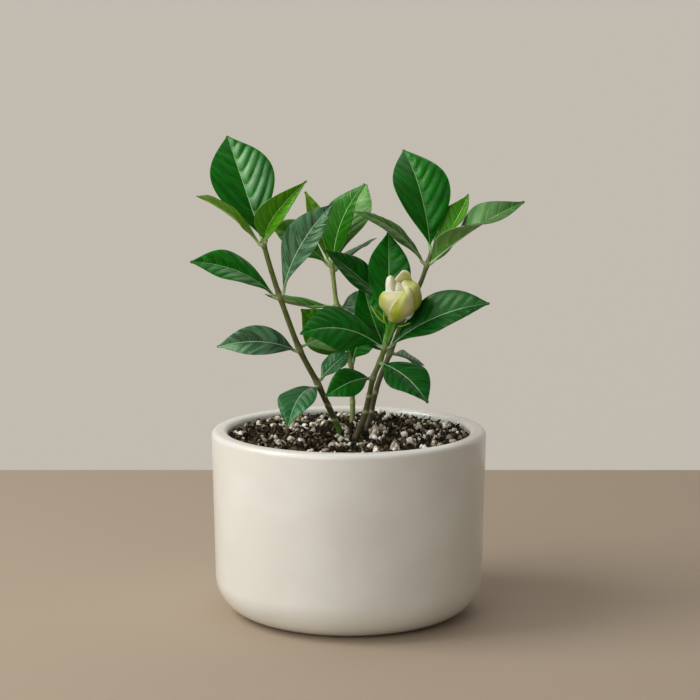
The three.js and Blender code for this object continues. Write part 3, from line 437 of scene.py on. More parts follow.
def composted_bark():
    """Composted pine bark, broken: dark brown flakes, each of its own shade, a few bleached."""
    finish = open_finish("composted_bark")
    shade = add(finish, "attribute", "shade")
    grain = add(finish, "noise", add(finish, "place"), per_mm(0.8), 3, 0.65)
    colour = paint(finish, "#0E0B04", ("#4E432C", shade, 0.3, 0.7), ("#A8997A", shade, 0.7, 1),
                   ("#6C5E44", grain, 0.45, 0.7, 0, 0.4))
    return close_finish(finish, Base_Color=colour, Roughness=0.8, IOR=1.3,
                        Normal=add(finish, "bump", grain, 0.7, 0.3 * MM))


def expanded_perlite():
    """Perlite, volcanic glass popped by heat: chalky white grains, some stained by the peat."""
    finish = open_finish("expanded_perlite")
    shade = add(finish, "attribute", "shade")
    stain = add(finish, "noise", add(finish, "place"), per_mm(1.4), 3, 0.7)
    colour = paint(finish, "#A4988A", ("#DCD4C2", shade, 0, 0.45), ("#FCF8EE", shade, 0.4, 0.75),
                   ("#665A48", stain, 0.5, 0.72, 0, 0.75))
    return close_finish(finish, Base_Color=colour, Roughness=0.7,
                        Normal=add(finish, "bump", stain, 0.6, 0.3 * MM))


def young_bark(name, foot, low, high, ridge):
    """Thin gardenia bark: fine ridges along the stem, and pale rings where leaves fell."""
    finish = open_finish(name)
    place = add(finish, "place")
    ridges = add(finish, "noise", add(finish, "stretch", place, (1, 1, 0.16)), per_mm(0.7), 3, 0.6)
    along = add(finish, "attribute", "along")
    patch = add(finish, "product", add(finish, "noise", place, per_mm(9)), 0.35)
    colour = paint(finish, low, (high, add(finish, "sum", along, patch), 0.3, 1.1),
                   (foot, along, 0.05, 0.09, 0.7, 0), (ridge, ridges, 0.45, 0.65, 0, 0.55),
                   ("#C0BA84", add(finish, "attribute", "scar")))
    return close_finish(finish, Base_Color=colour, Roughness=0.46,
                        Normal=add(finish, "bump", ridges, 0.6, 0.25 * MM))


def waxy_leaf(tone):
    """A gardenia leaf's waxy upper side: glossy cuticle over a dark blade, with fine pale veins, painted
    sheen between the side veins and painted shade in their valleys.
    """
    dark, light, vein, _ = TONES[tone]
    finish = open_finish(f"waxy_leaf_{tone}")
    place = add(finish, "place")
    rank, inward, along, bloom = (
        add(finish, "attribute", name) for name in ("vein", "from_midrib", "along", "bloom"))
    near_vein = add(finish, "zigzag", rank, 0.5)
    # Streaks along the side veins, about 4 mm wide and many times as long
    lines = add(finish, "vector", add(finish, "product", rank, 6 * MM),
                add(finish, "product", inward, 0.15 * MM))
    drift = add(finish, "vector_scale", place, 0.3)
    streak = add(finish, "noise", add(finish, "vector_sum", lines, drift), per_mm(4), 3, 0.6)
    # Lighter between the side veins and darker in their valleys: the leaf's own streaks, with painted
    # sheen on the raised quilts and painted shade down in the vein valleys
    streaks_sheen_and_vein_shade = add(finish, "sum", add(finish, "ramp", near_vein, 0, 0.3, 0, 0.4),
                 add(finish, "ramp", streak, 0.4, 0.62, 0, 0.6))
    # Painted sheen: stripes between the side veins where a pale grey-green stands in for the gloss
    # catching the light
    sheen_bands = add(finish, "product", add(finish, "ramp", streak, 0.3, 0.6, 0.6, 1.15),
                add(finish, "ramp", add(finish, "fraction", rank), 0.15, 0.85, 0.05, 1))
    side_vein = add(finish, "product", add(finish, "ramp", near_vein, 0.02, 0.08, 1, 0),
                    add(finish, "ramp", inward, 3, 11, 0.36, 0.08))
    # The pale grey-green laid over the blade here is painted sheen
    colour = paint(finish, dark, (light, streaks_sheen_and_vein_shade), ("#86AC8A", add(finish, "product", bloom, sheen_bands)),
                   (vein, side_vein), (vein, inward, 0.1, 0.5, 0.6, 0),
                   ("#4A3A1C", along, 0.975, 0.995, 0, 0.7))
    patch = add(finish, "noise", place, per_mm(11))
    # The net of smallest veins, about 1 mm a mesh, dents the cuticle by a few hundredths
    dents = add(finish, "ramp", add(finish, "net", place, per_mm(1.1)), 0, 0.25)
    return close_finish(
        finish, Base_Color=colour, Roughness=add(finish, "ramp", patch, 0.3, 0.7, 0.3, 0.4),
        IOR=1.35 if tone in THIN_WAX else 1.41, Coat_Weight=0.08, Coat_Roughness=0.22,
        Specular_Tint=(0.55, 1.0, 0.48, 1.0), Normal=add(finish, "bump", dents, 0.2, 0.03 * MM))


def leaf_underside(tone):
    """A gardenia leaf's underside: paler and matt, with its net of veins standing out."""
    _, _, vein, under = TONES[tone]
    finish = open_finish(f"leaf_underside_{tone}")
    place = add(finish, "place")
    near_vein = add(finish, "zigzag", add(finish, "attribute", "vein"), 0.5)
    patch = add(finish, "noise", place, per_mm(5), 3)
    colour = paint(finish, under, (vein, near_vein, 0.03, 0.12, 0.6, 0),
                   (vein, patch, 0.3, 0.8, 0, 0.25))
    net = add(finish, "ramp", add(finish, "net", place, per_mm(1.1)), 0, 0.25, 1, 0)
    return close_finish(
        finish, Base_Color=colour, Roughness=0.55, Subsurface_Weight=0.12,
        Subsurface_Radius=(0.4, 1.0, 0.2), Subsurface_Scale=0.6 * MM,
        Normal=add(finish, "bump", net, 0.4, 0.1 * MM))


def leaf_rib(tone):
    """The midrib and stalk: smooth plant tissue, pale, and greener towards the tip."""
    _, light, vein, _ = TONES[tone]
    finish = open_finish(f"leaf_rib_{tone}")
    along = add(finish, "attribute", "along")
    colour = paint(finish, vein, ("#C6ECB6", 0.55), (light, along, 0.6, 1))
    return close_finish(finish, Base_Color=colour, Roughness=0.42)


def leaf_margin(tone):
    """The thickened margin of a leaf: a thin pale line, browned here and there."""
    _, light, vein, _ = TONES[tone]
    finish = open_finish(f"leaf_margin_{tone}")
    edge = add(finish, "noise", add(finish, "place"), per_mm(7))
    colour = paint(finish, light, (vein, 0.35), ("#5B4A22", edge, 0.5, 0.7))
    return close_finish(finish, Base_Color=colour, Roughness=0.5)


def calyx_skin():
    """The calyx: ribbed young plant tissue, yellow-green along the ribs and rims."""
    finish = open_finish("calyx_skin")
    patch = add(finish, "noise", add(finish, "place"), per_mm(4))
    rim = add(finish, "attribute", "rim")
    colour = paint(finish, "#3A8018", ("#70AC34", patch, 0.35, 0.7), ("#9CC856", rim, 0.3, 1))
    return close_finish(
        finish, Base_Color=colour, Roughness=0.42, Subsurface_Weight=0.15,
        Subsurface_Radius=(0.5, 1.0, 0.2), Subsurface_Scale=0.8 * MM)


def petal_skin():
    """Gardenia petals in bud: thick, waxy and creamy, yellow-green where other petals covered them, with
    painted olive shade where a petal faces away from the light.
    """
    finish = open_finish("petal_skin")
    place = add(finish, "place")
    green, rim = (add(finish, "attribute", name) for name in ("green", "rim"))
    patch = add(finish, "noise", place, per_mm(5))
    # Olive laid over the cream: partly the yellow-green where petals lay covered, partly painted shade
    # where a petal faces away from the light
    olive_and_painted_shade = add(finish, "product", add(finish, "ramp", patch, 0.3, 0.7, 0.8, 1.1),
                  add(finish, "ramp", green, 0.25, 1.1))
    colour = paint(finish, "#F8F9EA", ("#F0F0D8", patch, 0.3, 0.7), ("#EAE5B8", green, 0, 0.35),
                   ("#B0BC2E", olive_and_painted_shade), ("#FAF7E4", rim, 0.9, 0.99, 0, 0.8))
    fine = add(finish, "noise", add(finish, "stretch", place, (1, 1, 0.25)), per_mm(0.8))
    return close_finish(
        finish, Base_Color=colour, Roughness=0.48, Sheen_Weight=0.1, Sheen_Roughness=0.4,
        Subsurface_Weight=0.6, Subsurface_Radius=(1.0, 0.9, 0.5), Subsurface_Scale=2 * MM,
        Normal=add(finish, "bump", fine, 0.2, 0.15 * MM))


def studio_floor():
    """A painted table top: matt, pale and warm."""
    return close_finish(open_finish("studio_floor"), Base_Color="#B0A08C", Roughness=0.7)


def lit_paper(room):
    """The backdrop: matt paper, lit evenly from behind."""
    return close_finish(open_finish("lit_paper"), Base_Color="#000000", Roughness=0.9,
                        Emission_Color=(*room.backdrop, 1), Emission_Strength=1.0)


def select_only(*pieces):
    """Selects these pieces and nothing else, and makes the first one active."""
    bpy.ops.object.select_all(action="DESELECT")
    for piece in pieces:
        piece.select_set(True)
    if pieces:
        bpy.context.view_layer.objects.active = pieces[0]


def take(piece, name):
    """Names a new object, and its mesh after it."""
    piece.name = name
    piece.data.name = name
    return piece


def put(name, data):
    """A new object in the scene that shows a mesh, curve, light or camera."""
    piece = bpy.data.objects.new(name, data)
    bpy.context.scene.collection.objects.link(piece)
    return piece


def new_drum(name, radius, low, high):
    """A plain drum round the planter's axis, between two heights."""
    select_only()
    bpy.ops.mesh.primitive_cylinder_add(
        vertices=POT_SIDES, radius=radius, depth=high - low, location=(0, 0, (high + low) / 2))
    bpy.ops.object.transform_apply(location=True)
    return take(bpy.context.object, name)


def new_grid(name, columns, rows):
    """A flat grid from -1 to 1 both ways, for a blade or a petal to be bent from."""
    select_only()
    bpy.ops.mesh.primitive_grid_add(
        x_subdivisions=columns, y_subdivisions=rows, size=2, location=(0, 0, 0))
    return take(bpy.context.object, name)


def apply_modifier(piece, kind, **settings):
    """Adds a modifier to a piece and applies it."""
    select_only(piece)
    modifier = piece.modifiers.new(kind.title(), kind)
    for name, value in settings.items():
        setattr(modifier, name, value)
    bpy.ops.object.modifier_apply(modifier=modifier.name)


def thicken(sheet, thickness):
    """Gives a petal or a sepal its thickness, with round edges."""
    apply_modifier(sheet, "SOLIDIFY", thickness=thickness, offset=0)
    apply_modifier(sheet, "SUBSURF", levels=1, render_levels=1)
    return sheet


def join_pieces(name, *pieces):
    """Joins pieces into the first one, under a name."""
    select_only(*pieces)
    bpy.ops.object.join()
    return take(pieces[0], name)


def store(piece, name, values):
    """Keeps one number for each point of a mesh, for its material to read."""
    layer = piece.data.attributes.new(name, "FLOAT", "POINT")
    layer.data.foreach_set("value", values)


def finish_piece(piece, crease, slot, node, *finishes):
    """Shades a piece smoothly apart from edges sharper than the crease, gives it its finish,
    scales its mesh from millimetres, and fixes it to the frame."""
    select_only(piece)
    bpy.ops.object.shade_smooth_by_angle(angle=math.radians(crease))
    for finish in finishes:
        piece.data.materials.append(finish)
    piece.data.transform(Matrix.Scale(MM, 4))
    piece.data.update()
    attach(piece, "root")
    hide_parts(node)


def open_for_edit(piece):
    """Opens a piece in edit mode."""
    select_only(piece)
    bpy.ops.object.mode_set(mode="EDIT")


def select_where(piece, kind, chosen):
    """Selects the faces or edges of a piece in edit mode that a test picks."""
    mesh = bmesh.from_edit_mesh(piece.data)
    bpy.ops.mesh.select_all(action="DESELECT")
    bpy.context.tool_settings.mesh_select_mode = (False, kind == "EDGE", kind == "FACE")
    for part in mesh.faces if kind == "FACE" else mesh.edges:
        if chosen(part):
            part.select_set(True)
    mesh.select_flush_mode()
    bmesh.update_edit_mesh(piece.data)


def ring_at(height, *radii):
    """A test for the edges of level rings round the planter's axis."""
    def on_ring(edge):
        return any(all(abs(v.co.z - height) < RING_SLACK
                       and abs(v.co.xy.length - radius) < RING_SLACK for v in edge.verts)
                   for radius in radii)
    return on_ring


def round_edges(piece, chosen, radius, steps):
    """Rounds the edges of a piece in edit mode that a test picks."""
    select_where(piece, "EDGE", chosen)
    bpy.ops.mesh.bevel(offset=radius, offset_type="OFFSET", segments=steps, profile=0.5)


def is_top(face):
    """A test for the faces that look up."""
    return face.normal.z > 0.9


def make_planter(size):
    """The planter: a turned drum, opened from its top and rounded at every edge."""
    radius, height, wall = (value / MM for value in (size.rim_radius, size.height, size.wall))
    pot = new_drum("planter_glazed", radius, 0, height)
    taper = (radius - POT_SIDE_RADIUS) / (height - POT_RIM_ROUND - POT_CORNER)
    foot = POT_SIDE_RADIUS - taper * POT_CORNER
    for vertex in pot.data.vertices:
        if vertex.co.z < 1:
            vertex.co.xy *= foot / radius
    open_for_edit(pot)
    select_where(pot, "FACE", is_top)
    bpy.ops.mesh.inset(thickness=wall)
    bpy.ops.mesh.extrude_region_move(TRANSFORM_OT_translate={"value": (0, 0, POT_FLOOR - height)})
    round_edges(pot, ring_at(0, foot), POT_CORNER, POT_CORNER_STEPS)
    round_edges(pot, ring_at(height, radius, radius - wall), POT_RIM_ROUND, POT_EDGE_STEPS)
    round_edges(pot, ring_at(POT_FLOOR, radius - wall), POT_INNER_CORNER, POT_EDGE_STEPS)
    bpy.ops.object.mode_set(mode="OBJECT")
    finish_piece(pot, POT_CREASE, "planter_glaze", "planter", glazed_stoneware())


def soil_height(x, y, reach):
    """The gentle relief of the potting mix, as a height above the underside."""
    out = math.hypot(x, y) / reach
    across, deep, slant = SOIL_WAVES
    ripple = math.sin(x * across + 1) * math.cos(y * deep) + math.sin((x + y) * slant)
    bank = SOIL_BANK * out ** 12
    return SOIL_LEVEL + SOIL_MOUND * (1 - out * out) + SOIL_RIPPLE * ripple * (1 - out ** 4) + bank


def make_soil_bed(size, mix):
    """The bed of fine peat: a plug that fills the planter, with a crumbled top."""
    reach = (size.rim_radius - size.wall) / MM
    radius = reach - SOIL_GAP
    low = POT_FLOOR + SOIL_GAP
    bed = new_drum("soil_bed", radius, low, SOIL_LEVEL)
    open_for_edit(bed)
    round_edges(bed, ring_at(low, radius), POT_INNER_CORNER, SOIL_CORNER_STEPS)
    select_where(bed, "FACE", is_top)
    for _ in range(SOIL_RINGS):
        bpy.ops.mesh.inset(thickness=radius / (SOIL_RINGS + 1))
    bpy.ops.mesh.poke()
    bpy.ops.object.mode_set(mode="OBJECT")
    for vertex in bed.data.vertices:
        if vertex.co.z > SOIL_LEVEL - 0.1:
            x, y, _ = vertex.co
            crumbs = noise.turbulence(
                Vector((x, y, 0)) / mix.crumb_spacing, CRUMB_OCTAVES, False) - CRUMB_MEAN
            vertex.co.z = soil_height(x, y, reach) + mix.crumb_relief * crumbs
    finish_piece(bed, SOIL_CREASE, "potting_mix", "soil", damp_peat())


def broken_grain(seed, breaks):
    """The points and faces of a grain of unit size: a rough ball with flat breaks."""
    select_only()
    bpy.ops.mesh.primitive_ico_sphere_add(subdivisions=2, radius=1)
    grain = bpy.context.object
    draw = random.Random(seed)
    for vertex in grain.data.vertices:
        push = noise.noise(vertex.co * 1.3 + Vector((seed * 7, 0, 0)))
        vertex.co *= 1 + GRAIN_ROUGHNESS * push
    open_for_edit(grain)
    for _ in range(breaks):
        normal = Vector([draw.uniform(-1, 1) for _ in range(3)]).normalized()
        bpy.ops.mesh.select_all(action="SELECT")
        bpy.ops.mesh.bisect(plane_co=normal * draw.uniform(*GRAIN_BREAKS), plane_no=normal,
                            use_fill=True, clear_outer=True)
    bpy.ops.mesh.select_all(action="SELECT")
    bpy.ops.mesh.quads_convert_to_tris()
    bpy.ops.object.mode_set(mode="OBJECT")
    points = [vertex.co.copy() for vertex in grain.data.vertices]
    faces = [tuple(face.vertices) for face in grain.data.polygons]
    bpy.data.objects.remove(grain)
    return points, faces


def any_turn(draw):
    """A turn in any direction."""
    turn = Matrix.Identity(3)
    for axis in "XYZ":
        turn = turn @ Matrix.Rotation(draw.uniform(0, 2 * math.pi), 3, axis)
    return turn


def scattered_grains(kind, count, reach, shapes):
    """Places for grains on the mix, small ones more often than large ones: each with its
    place, size, turn, shape and shade."""
    grain = GRAINS[kind]
    draw = random.Random(grain.seed)
    found = []
    while len(found) < count:
        size = grain.smallest + (grain.largest - grain.smallest) * draw.random() ** GRAIN_SMALLNESS
        out = (reach - size - RIM_CLEARANCE) * math.sqrt(draw.random())
        angle = draw.uniform(0, 2 * math.pi)
        x, y = out * math.cos(angle), out * math.sin(angle)
        clump = noise.noise(Vector((x, y, grain.seed)) / CLUMP_SPACING)
        if draw.random() > 0.5 + grain.clumping * clump:
            continue
        place = Vector((x, y, soil_height(x, y, reach) + grain.lift * size))
        stretch = (size, size * draw.uniform(*grain.flatness), size * draw.uniform(*grain.flatness))
        found.append((place, stretch, any_turn(draw), draw.randrange(shapes), draw.random()))
    return found


def make_grains(size, mix, name, kinds, seeds, breaks, crease, finish):
    """One piece of many grains of some kinds, lying on the bed and sunk into it."""
    reach = (size.rim_radius - size.wall) / MM
    shapes = [broken_grain(seed, breaks) for seed in seeds]
    points, faces, shades = [], [], []
    for kind in kinds:
        grains = scattered_grains(kind, getattr(mix, kind + "_count"), reach, len(shapes))
        for place, stretch, turn, shape, shade in grains:
            first = len(points)
            corners, sides = shapes[shape]
            points += [place + turn @ Vector([c * s for c, s in zip(corner, stretch)])
                       for corner in corners]
            faces += [tuple(first + i for i in side) for side in sides]
            shades += [shade] * len(corners)
    mesh = bpy.data.meshes.new(name)
    mesh.from_pydata(points, [], faces)
    piece = put(name, mesh)
    store(piece, "shade", shades)
    finish_piece(piece, crease, "potting_mix", "soil", finish)


def spline(points, share):
    """A point of the smooth curve that passes evenly through a list of points."""
    points = [2 * points[0] - points[1], *points, 2 * points[-1] - points[-2]]
    spans = len(points) - 3
    place = min(max(share, 0), 1) * spans
    i = min(int(place), spans - 1)
    w = place - i
    before, start, end, after = points[i:i + 4]
    leave, arrive = (end - before) / 2, (after - start) / 2
    return (start + leave * w + (3 * (end - start) - 2 * leave - arrive) * w ** 2
            + (2 * (start - end) + leave + arrive) * w ** 3)


def arc(start, middle, end, share):
    """A point of the arc that leaves its start, and reaches its end, pointing at its middle."""
    return start * (1 - share) ** 2 + middle * 2 * share * (1 - share) + end * share ** 2


def hump(place, centre, width):
    """A smooth hump of height 1 at a centre."""
    return math.exp(-((place - centre) / width) ** 2)


def stem_point(name, share):
    """A point of a stem's smooth curve."""
    return spline([Vector(p) for p in STEMS[name].points], share)


def stem_at(name, height):
    """The point of a stem at a height, found by halving."""
    low, high = 0.0, 1.0
    for _ in range(24):
        middle = (low + high) / 2
        if stem_point(name, middle).z < height:
            low = middle
        else:
            high = middle
    return stem_point(name, low)


def sweep(name, points, radii, bevel):
    """A round bar along points, with a radius at each, as a mesh."""
    curve = bpy.data.curves.new(name, "CURVE")
    curve.dimensions = "3D"
    curve.bevel_depth = 1
    curve.bevel_resolution = bevel
    curve.use_fill_caps = True
    strand = curve.splines.new("POLY")
    strand.points.add(len(points) - 1)
    for knot, point, radius in zip(strand.points, points, radii):
        knot.co = (*point, 1)
        knot.radius = radius
    select_only(put(name, curve))
    bpy.ops.object.convert(target="MESH")
    return take(bpy.context.object, name)


def make_stem(name, slot, finish):
    """A stem: a tapered bar with a flare at the mix, swollen nodes and ringed leaf scars."""
    shape = STEMS[name]
    nodes = {leaf.height for leaf in LEAVES.values() if leaf.stem == name}
    scars = LEAF_SCARS[name]
    points, radii = [], []
    for i in range(STEM_RINGS + 1):
        share = i / STEM_RINGS
        point = stem_point(name, share)
        radius = shape.foot + (shape.top - shape.foot) * share
        radius += NODE_SWELLING * max(hump(point.z, node, NODE_LENGTH) for node in nodes)
        radius += SCAR_SWELLING * max(hump(point.z, scar, SCAR_LENGTH) for scar in scars)
        radius += STEM_FLARE * math.exp(-max(point.z - FLARE_TOP, 0) / FLARE_LENGTH)
        radius *= 1 + STEM_UNEVENNESS * noise.noise(point * LUMPS_PER_MM)
        points.append(point)
        radii.append(radius)
    end = (points[-1] - points[-2]).normalized()
    top = points[-1]
    for rise, share in STEM_END:
        points.append(top + end * rise)
        radii.append(shape.top * share)
    stem = sweep(name + "_bark", points, radii, 5)
    heights = [vertex.co.z for vertex in stem.data.vertices]
    store(stem, "along", [(z - SOIL_LEVEL) / (points[-1].z - SOIL_LEVEL) for z in heights])
    store(stem, "scar", [max([hump(z, scar, SCAR_WIDTH) for scar in scars]
                             + [NODE_PALENESS * hump(z, node, NODE_WIDTH) for node in nodes])
                         for z in heights])
    finish_piece(stem, 180, slot, name, finish)


def blade_spine(foot, tip, face, bow, sway):
    """The bent line of a blade's midrib."""
    tip, face = Vector(tip), Vector(face).normalized()
    chord = tip - foot
    direction = chord.normalized()
    up = (face - direction * face.dot(direction)).normalized()
    middle = (foot + tip) / 2 + up * 2 * bow + direction.cross(up) * 2 * sway
    return Spine(foot, middle, tip, face, chord.length)


def blade_frame(spine, twist, share):
    """The point of a midrib at a share of its length, with the blade's side and upper side."""
    foot, middle, tip, face, _ = spine
    along = ((middle - foot) * (1 - share) + (tip - middle) * share).normalized()
    normal = (face - along * face.dot(along)).normalized()
    turn = Matrix.Rotation(-math.radians(twist) * (share - 0.5), 3, along)
    return arc(foot, middle, tip, share), turn @ along.cross(normal), turn @ normal


def blade_half(spine, width, wide, share, stalk):
    """Half the width of a blade at a share of its length, with no blade on the stalk."""
    length = spine.length
    inside = min(max((share * length - stalk) / (length - stalk), 0), 1)
    power = math.log(0.5) / math.log(wide)
    return width / 2 * math.sin(math.pi * inside ** power) ** LEAF_POINTEDNESS


def leaf_foot(leaf):
    """Where a leaf meets its stem, on the side that faces the leaf's tip."""
    centre = stem_at(leaf.stem, leaf.height)
    along = (stem_at(leaf.stem, leaf.height + 0.5) - stem_at(leaf.stem, leaf.height - 2)).normalized()
    outward = Vector(leaf.tip) - centre
    outward = (outward - along * outward.dot(along)).normalized()
    return centre + outward * (STEMS[leaf.stem].top + STALK_GAP), outward


def make_blade(name, leaf, spine, look, finishes):
    """A leaf's blade, quilted between its side veins and grooved over its midrib."""
    length = spine.length
    spacing = length / VEIN_PAIRS
    fold = math.radians(leaf.fold)
    blade = new_grid(name + "_waxy", LEAF_COLUMNS, LEAF_ROWS)
    start = BLADE_START / length
    marks = {"bloom": [], "vein": [], "from_midrib": [], "along": []}
    for vertex in blade.data.vertices:
        column = round(vertex.co.x * LEAF_COLUMNS / 2) / (LEAF_COLUMNS / 2)
        t = math.copysign(abs(column) ** LEAF_CROWDING, column)
        share = start + (1 - start) * (vertex.co.y + 1) / 2
        centre, side, up = blade_frame(spine, leaf.twist, share)
        half = max(blade_half(spine, leaf.width, leaf.wide, share, STALK_LENGTH), TIP_HALF)
        left = (1 - share) * length
        if left < 2 * TIP_ROUND:
            ease = math.sqrt(max(1 - (1 - left / TIP_ROUND) ** 2, 0)) if left < TIP_ROUND else 1
            half = max(half, TIP_ROUND) * ease
        x = abs(t) * half
        shift = VEIN_SHIFT * min(x / 2, 1) * (t > 0)
        rank = (share * length - VEIN_SLANT * x - VEIN_CURVE * x * x) / spacing + shift
        quilt = abs(math.sin(math.pi * rank)) * min(x / VEIN_START, 1) * (1 - abs(t) ** 6)
        quilt *= 1 if t > 0 else QUILT_LEFT
        groove = math.exp(-(x / look.groove_width * MM) ** 2)
        wave = 2 * half / leaf.width * LEAF_WAVE * math.sin(2 * math.pi * LEAF_WAVES * share
                                                            + leaf.tip[0])
        bend = (wave * (1 if t > 0 else -1) - LEAF_CAMBER * half) * t * t
        rise = math.sqrt(x * x + FOLD_ROUNDING) - math.sqrt(FOLD_ROUNDING)
        relief = look.quilt_height / MM * quilt - look.groove_depth / MM * groove
        vertex.co = (centre + side * (t * half * math.cos(fold))
                     + up * (rise * math.sin(fold) + bend + relief))
        # Painted sheen: how much pale grey-green stands in for the gloss on this half of the blade
        bloom = PAINTED_SHEEN.get(name, (0, 0))[t > 0] * (1 - abs(t) ** 4) * math.sin(math.pi * share)
        for mark, value in zip(marks.values(), (bloom, rank, x, share)):
            mark.append(value)
    for mark, values in marks.items():
        store(blade, mark, values)
    for finish in finishes[:3]:
        blade.data.materials.append(finish)
    apply_modifier(blade, "SOLIDIFY", thickness=look.blade_thickness / MM, offset=0,
                   material_offset=1, material_offset_rim=2)
    return blade


def make_stalk(name, leaf, spine, outward, look, finish):
    """A leaf's stalk, which runs on under the blade as its midrib."""
    foot, length = spine.foot, spine.length
    points, radii = [foot - outward * STALK_SUNK], [STALK_FOOT]
    for i in range(RIB_STEPS + 1):
        share = RIB_END * i / RIB_STEPS
        centre, _, up = blade_frame(spine, leaf.twist, share)
        reach = share * length
        radius = RIB_RADIUS
        for more, fade in RIB_SWELLINGS:
            radius += more * math.exp(-reach / fade)
        sunk = (look.groove_depth - look.blade_thickness / 2) / MM - RIB_RISE + radius
        points.append(centre - up * (sunk * min(reach / STALK_LENGTH, 1)))
        radii.append(radius)
    stalk = sweep(name + "_stalk", points, radii, 2)
    store(stalk, "along", [(vertex.co - foot).length / length for vertex in stalk.data.vertices])
    stalk.data.materials.append(finish)
    return stalk


def make_leaf(name, look, finishes):
    """A leaf: its blade and its stalk, with the finishes of its upper side, underside, margin
    and rib."""
    leaf = LEAVES[name]
    foot, outward = leaf_foot(leaf)
    spine = blade_spine(foot, leaf.tip, leaf.face, leaf.bow, leaf.sway)
    blade = make_blade(name, leaf, spine, look, finishes)
    stalk = make_stalk(name, leaf, spine, outward, look, finishes[3])
    whole = join_pieces(name + "_waxy", blade, stalk)
    slot = "leaf_young" if name in YOUNG_LEAVES else "leaf_mature"
    finish_piece(whole, LEAF_CREASE, slot, name)


def bud_place():
    """The frame that stands a shape built along +Z at the bud's foot, along its axis."""
    up = Vector(BUD_AXIS).normalized()
    right = (Vector((1, 0, 0)) - up * up.x).normalized()
    turn = Matrix((right, up.cross(right), up)).transposed().to_4x4()
    return Matrix.Translation(Vector(BUD_FOOT)) @ turn


def make_petal(name, look):
    """One petal of the bud: a curved sheet with rounded edges."""
    petal = PETALS[name]
    sheet = new_grid(f"petal_{name}", PETAL_GRID, PETAL_GRID)
    place = bud_place()
    greens_and_shades, rims = [], []
    for vertex in sheet.data.vertices:
        u, v = (vertex.co.x + 1) / 2, (vertex.co.y + 1) / 2
        rows = [spline([Vector(p) for p in row], u) for row in petal.rows]
        vertex.co = place @ spline(rows, v)
        # The green mark is partly the petal's own colour and partly painted shade
        greens_and_shades.append(spline(petal.green[0], u) * (1 - v) + spline(petal.green[1], u) * v)
        rims.append(max(abs(2 * u - 1), v))
    store(sheet, "green", greens_and_shades)
    store(sheet, "rim", rims)
    return thicken(sheet, look.petal_thickness / MM)


def make_bud(look):
    """The bud: seven petals, each over the next, round a slender core."""
    select_only()
    bpy.ops.mesh.primitive_uv_sphere_add(segments=40, ring_count=32, radius=1)
    core = take(bpy.context.object, "bud_core")
    for vertex in core.data.vertices:
        x, y, z = vertex.co
        spiral = math.cos(2 * (math.atan2(y, x) - math.pi * CORE_TURNS * z))
        size = CORE_RADIUS * (1 + CORE_RIDGE * spiral)
        vertex.co = (x * size + CORE_SHIFT, y * size, (z + 1) * CORE_HEIGHT / 2)
    core.data.transform(bud_place())
    count = len(core.data.vertices)
    store(core, "green", [CORE_GREEN_AND_SHADE] * count)
    store(core, "rim", [CORE_RIM] * count)
    bud = join_pieces("bud_petals", core, *[make_petal(name, look) for name in PETALS])
    finish_piece(bud, BUD_CREASE, "petal_white", "bud", petal_skin())


def make_sepal(index):
    """One narrow sepal, arched outwards from the cup."""
    reach, face = Vector(SEPALS[index][0]), SEPALS[index][1]
    outward = Vector((reach.x, reach.y, 0)).normalized()
    axis = Vector(BUD_AXIS).normalized()
    start = Vector(BUD_FOOT) + axis * SEPAL_DROP + outward * SEPAL_START
    spine = blade_spine(start, start + reach, face, SEPAL_BOW, 0)
    sheet = new_grid(f"sepal_{index + 1}", *SEPAL_GRID)
    spread, rise = SEPAL_FOLD
    rims = []
    for vertex in sheet.data.vertices:
        t, share = vertex.co.x, (vertex.co.y + 1) / 2
        centre, side, up = blade_frame(spine, 0, share)
        half = max(blade_half(spine, SEPAL_WIDTH, SEPAL_WIDE, share, SEPAL_STALK),
                   SEPAL_ENDS[share > 0.5])
        vertex.co = centre + side * (t * half * spread) + up * (abs(t) * half * rise)
        rims.append(abs(t) ** 2)
    store(sheet, "rim", rims)
    return thicken(sheet, SEPAL_THICKNESS)


def make_calyx():
    """The green cup under the petals, ribbed, with its narrow sepals."""
    axis = Vector(BUD_AXIS).normalized()
    foot, bend = Vector(CALYX_FOOT), Vector(BUD_FOOT) + axis * CALYX_BEND
    top = Vector(BUD_FOOT) + axis * CALYX_RISE
    points, radii = [], []
    for i in range(CALYX_STEPS + 1):
        share = i / CALYX_STEPS
        points.append(arc(foot, bend, top, share))
        place = share * (len(CALYX_RADII) - 1)
        low = min(int(place), len(CALYX_RADII) - 2)
        radii.append(CALYX_RADII[low] + (CALYX_RADII[low + 1] - CALYX_RADII[low]) * (place - low))
    cup = sweep("calyx_cup", points, radii, 10)
    for vertex in cup.data.vertices:
        share = min(max((vertex.co - foot).length / (top - foot).length, 0), 1)
        arm = vertex.co - arc(foot, bend, top, share)
        angle = math.atan2(arm.y, arm.x)
        vertex.co += arm * CALYX_RIB_HEIGHT * math.cos(CALYX_RIBS * angle)
    store(cup, "rim", [CUP_RIM] * len(cup.data.vertices))
    sepals = [make_sepal(i) for i in range(len(SEPALS))]
    calyx = join_pieces("calyx_green", cup, *sepals)
    finish_piece(calyx, CALYX_CREASE, "calyx_green", "calyx", calyx_skin())


def make_light(name, place, target, size, power, colour):
    """A rectangular studio light that looks at a target."""
    lamp = bpy.data.lights.new(name, "AREA")
    lamp.shape = "RECTANGLE"
    lamp.size, lamp.size_y = size
    lamp.energy = power
    lamp.color = linear(colour)[:3]
    light = put(name, lamp)
    light.location = place
    light.rotation_euler = (Vector(target) - Vector(place)).to_track_quat("-Z", "Y").to_euler()


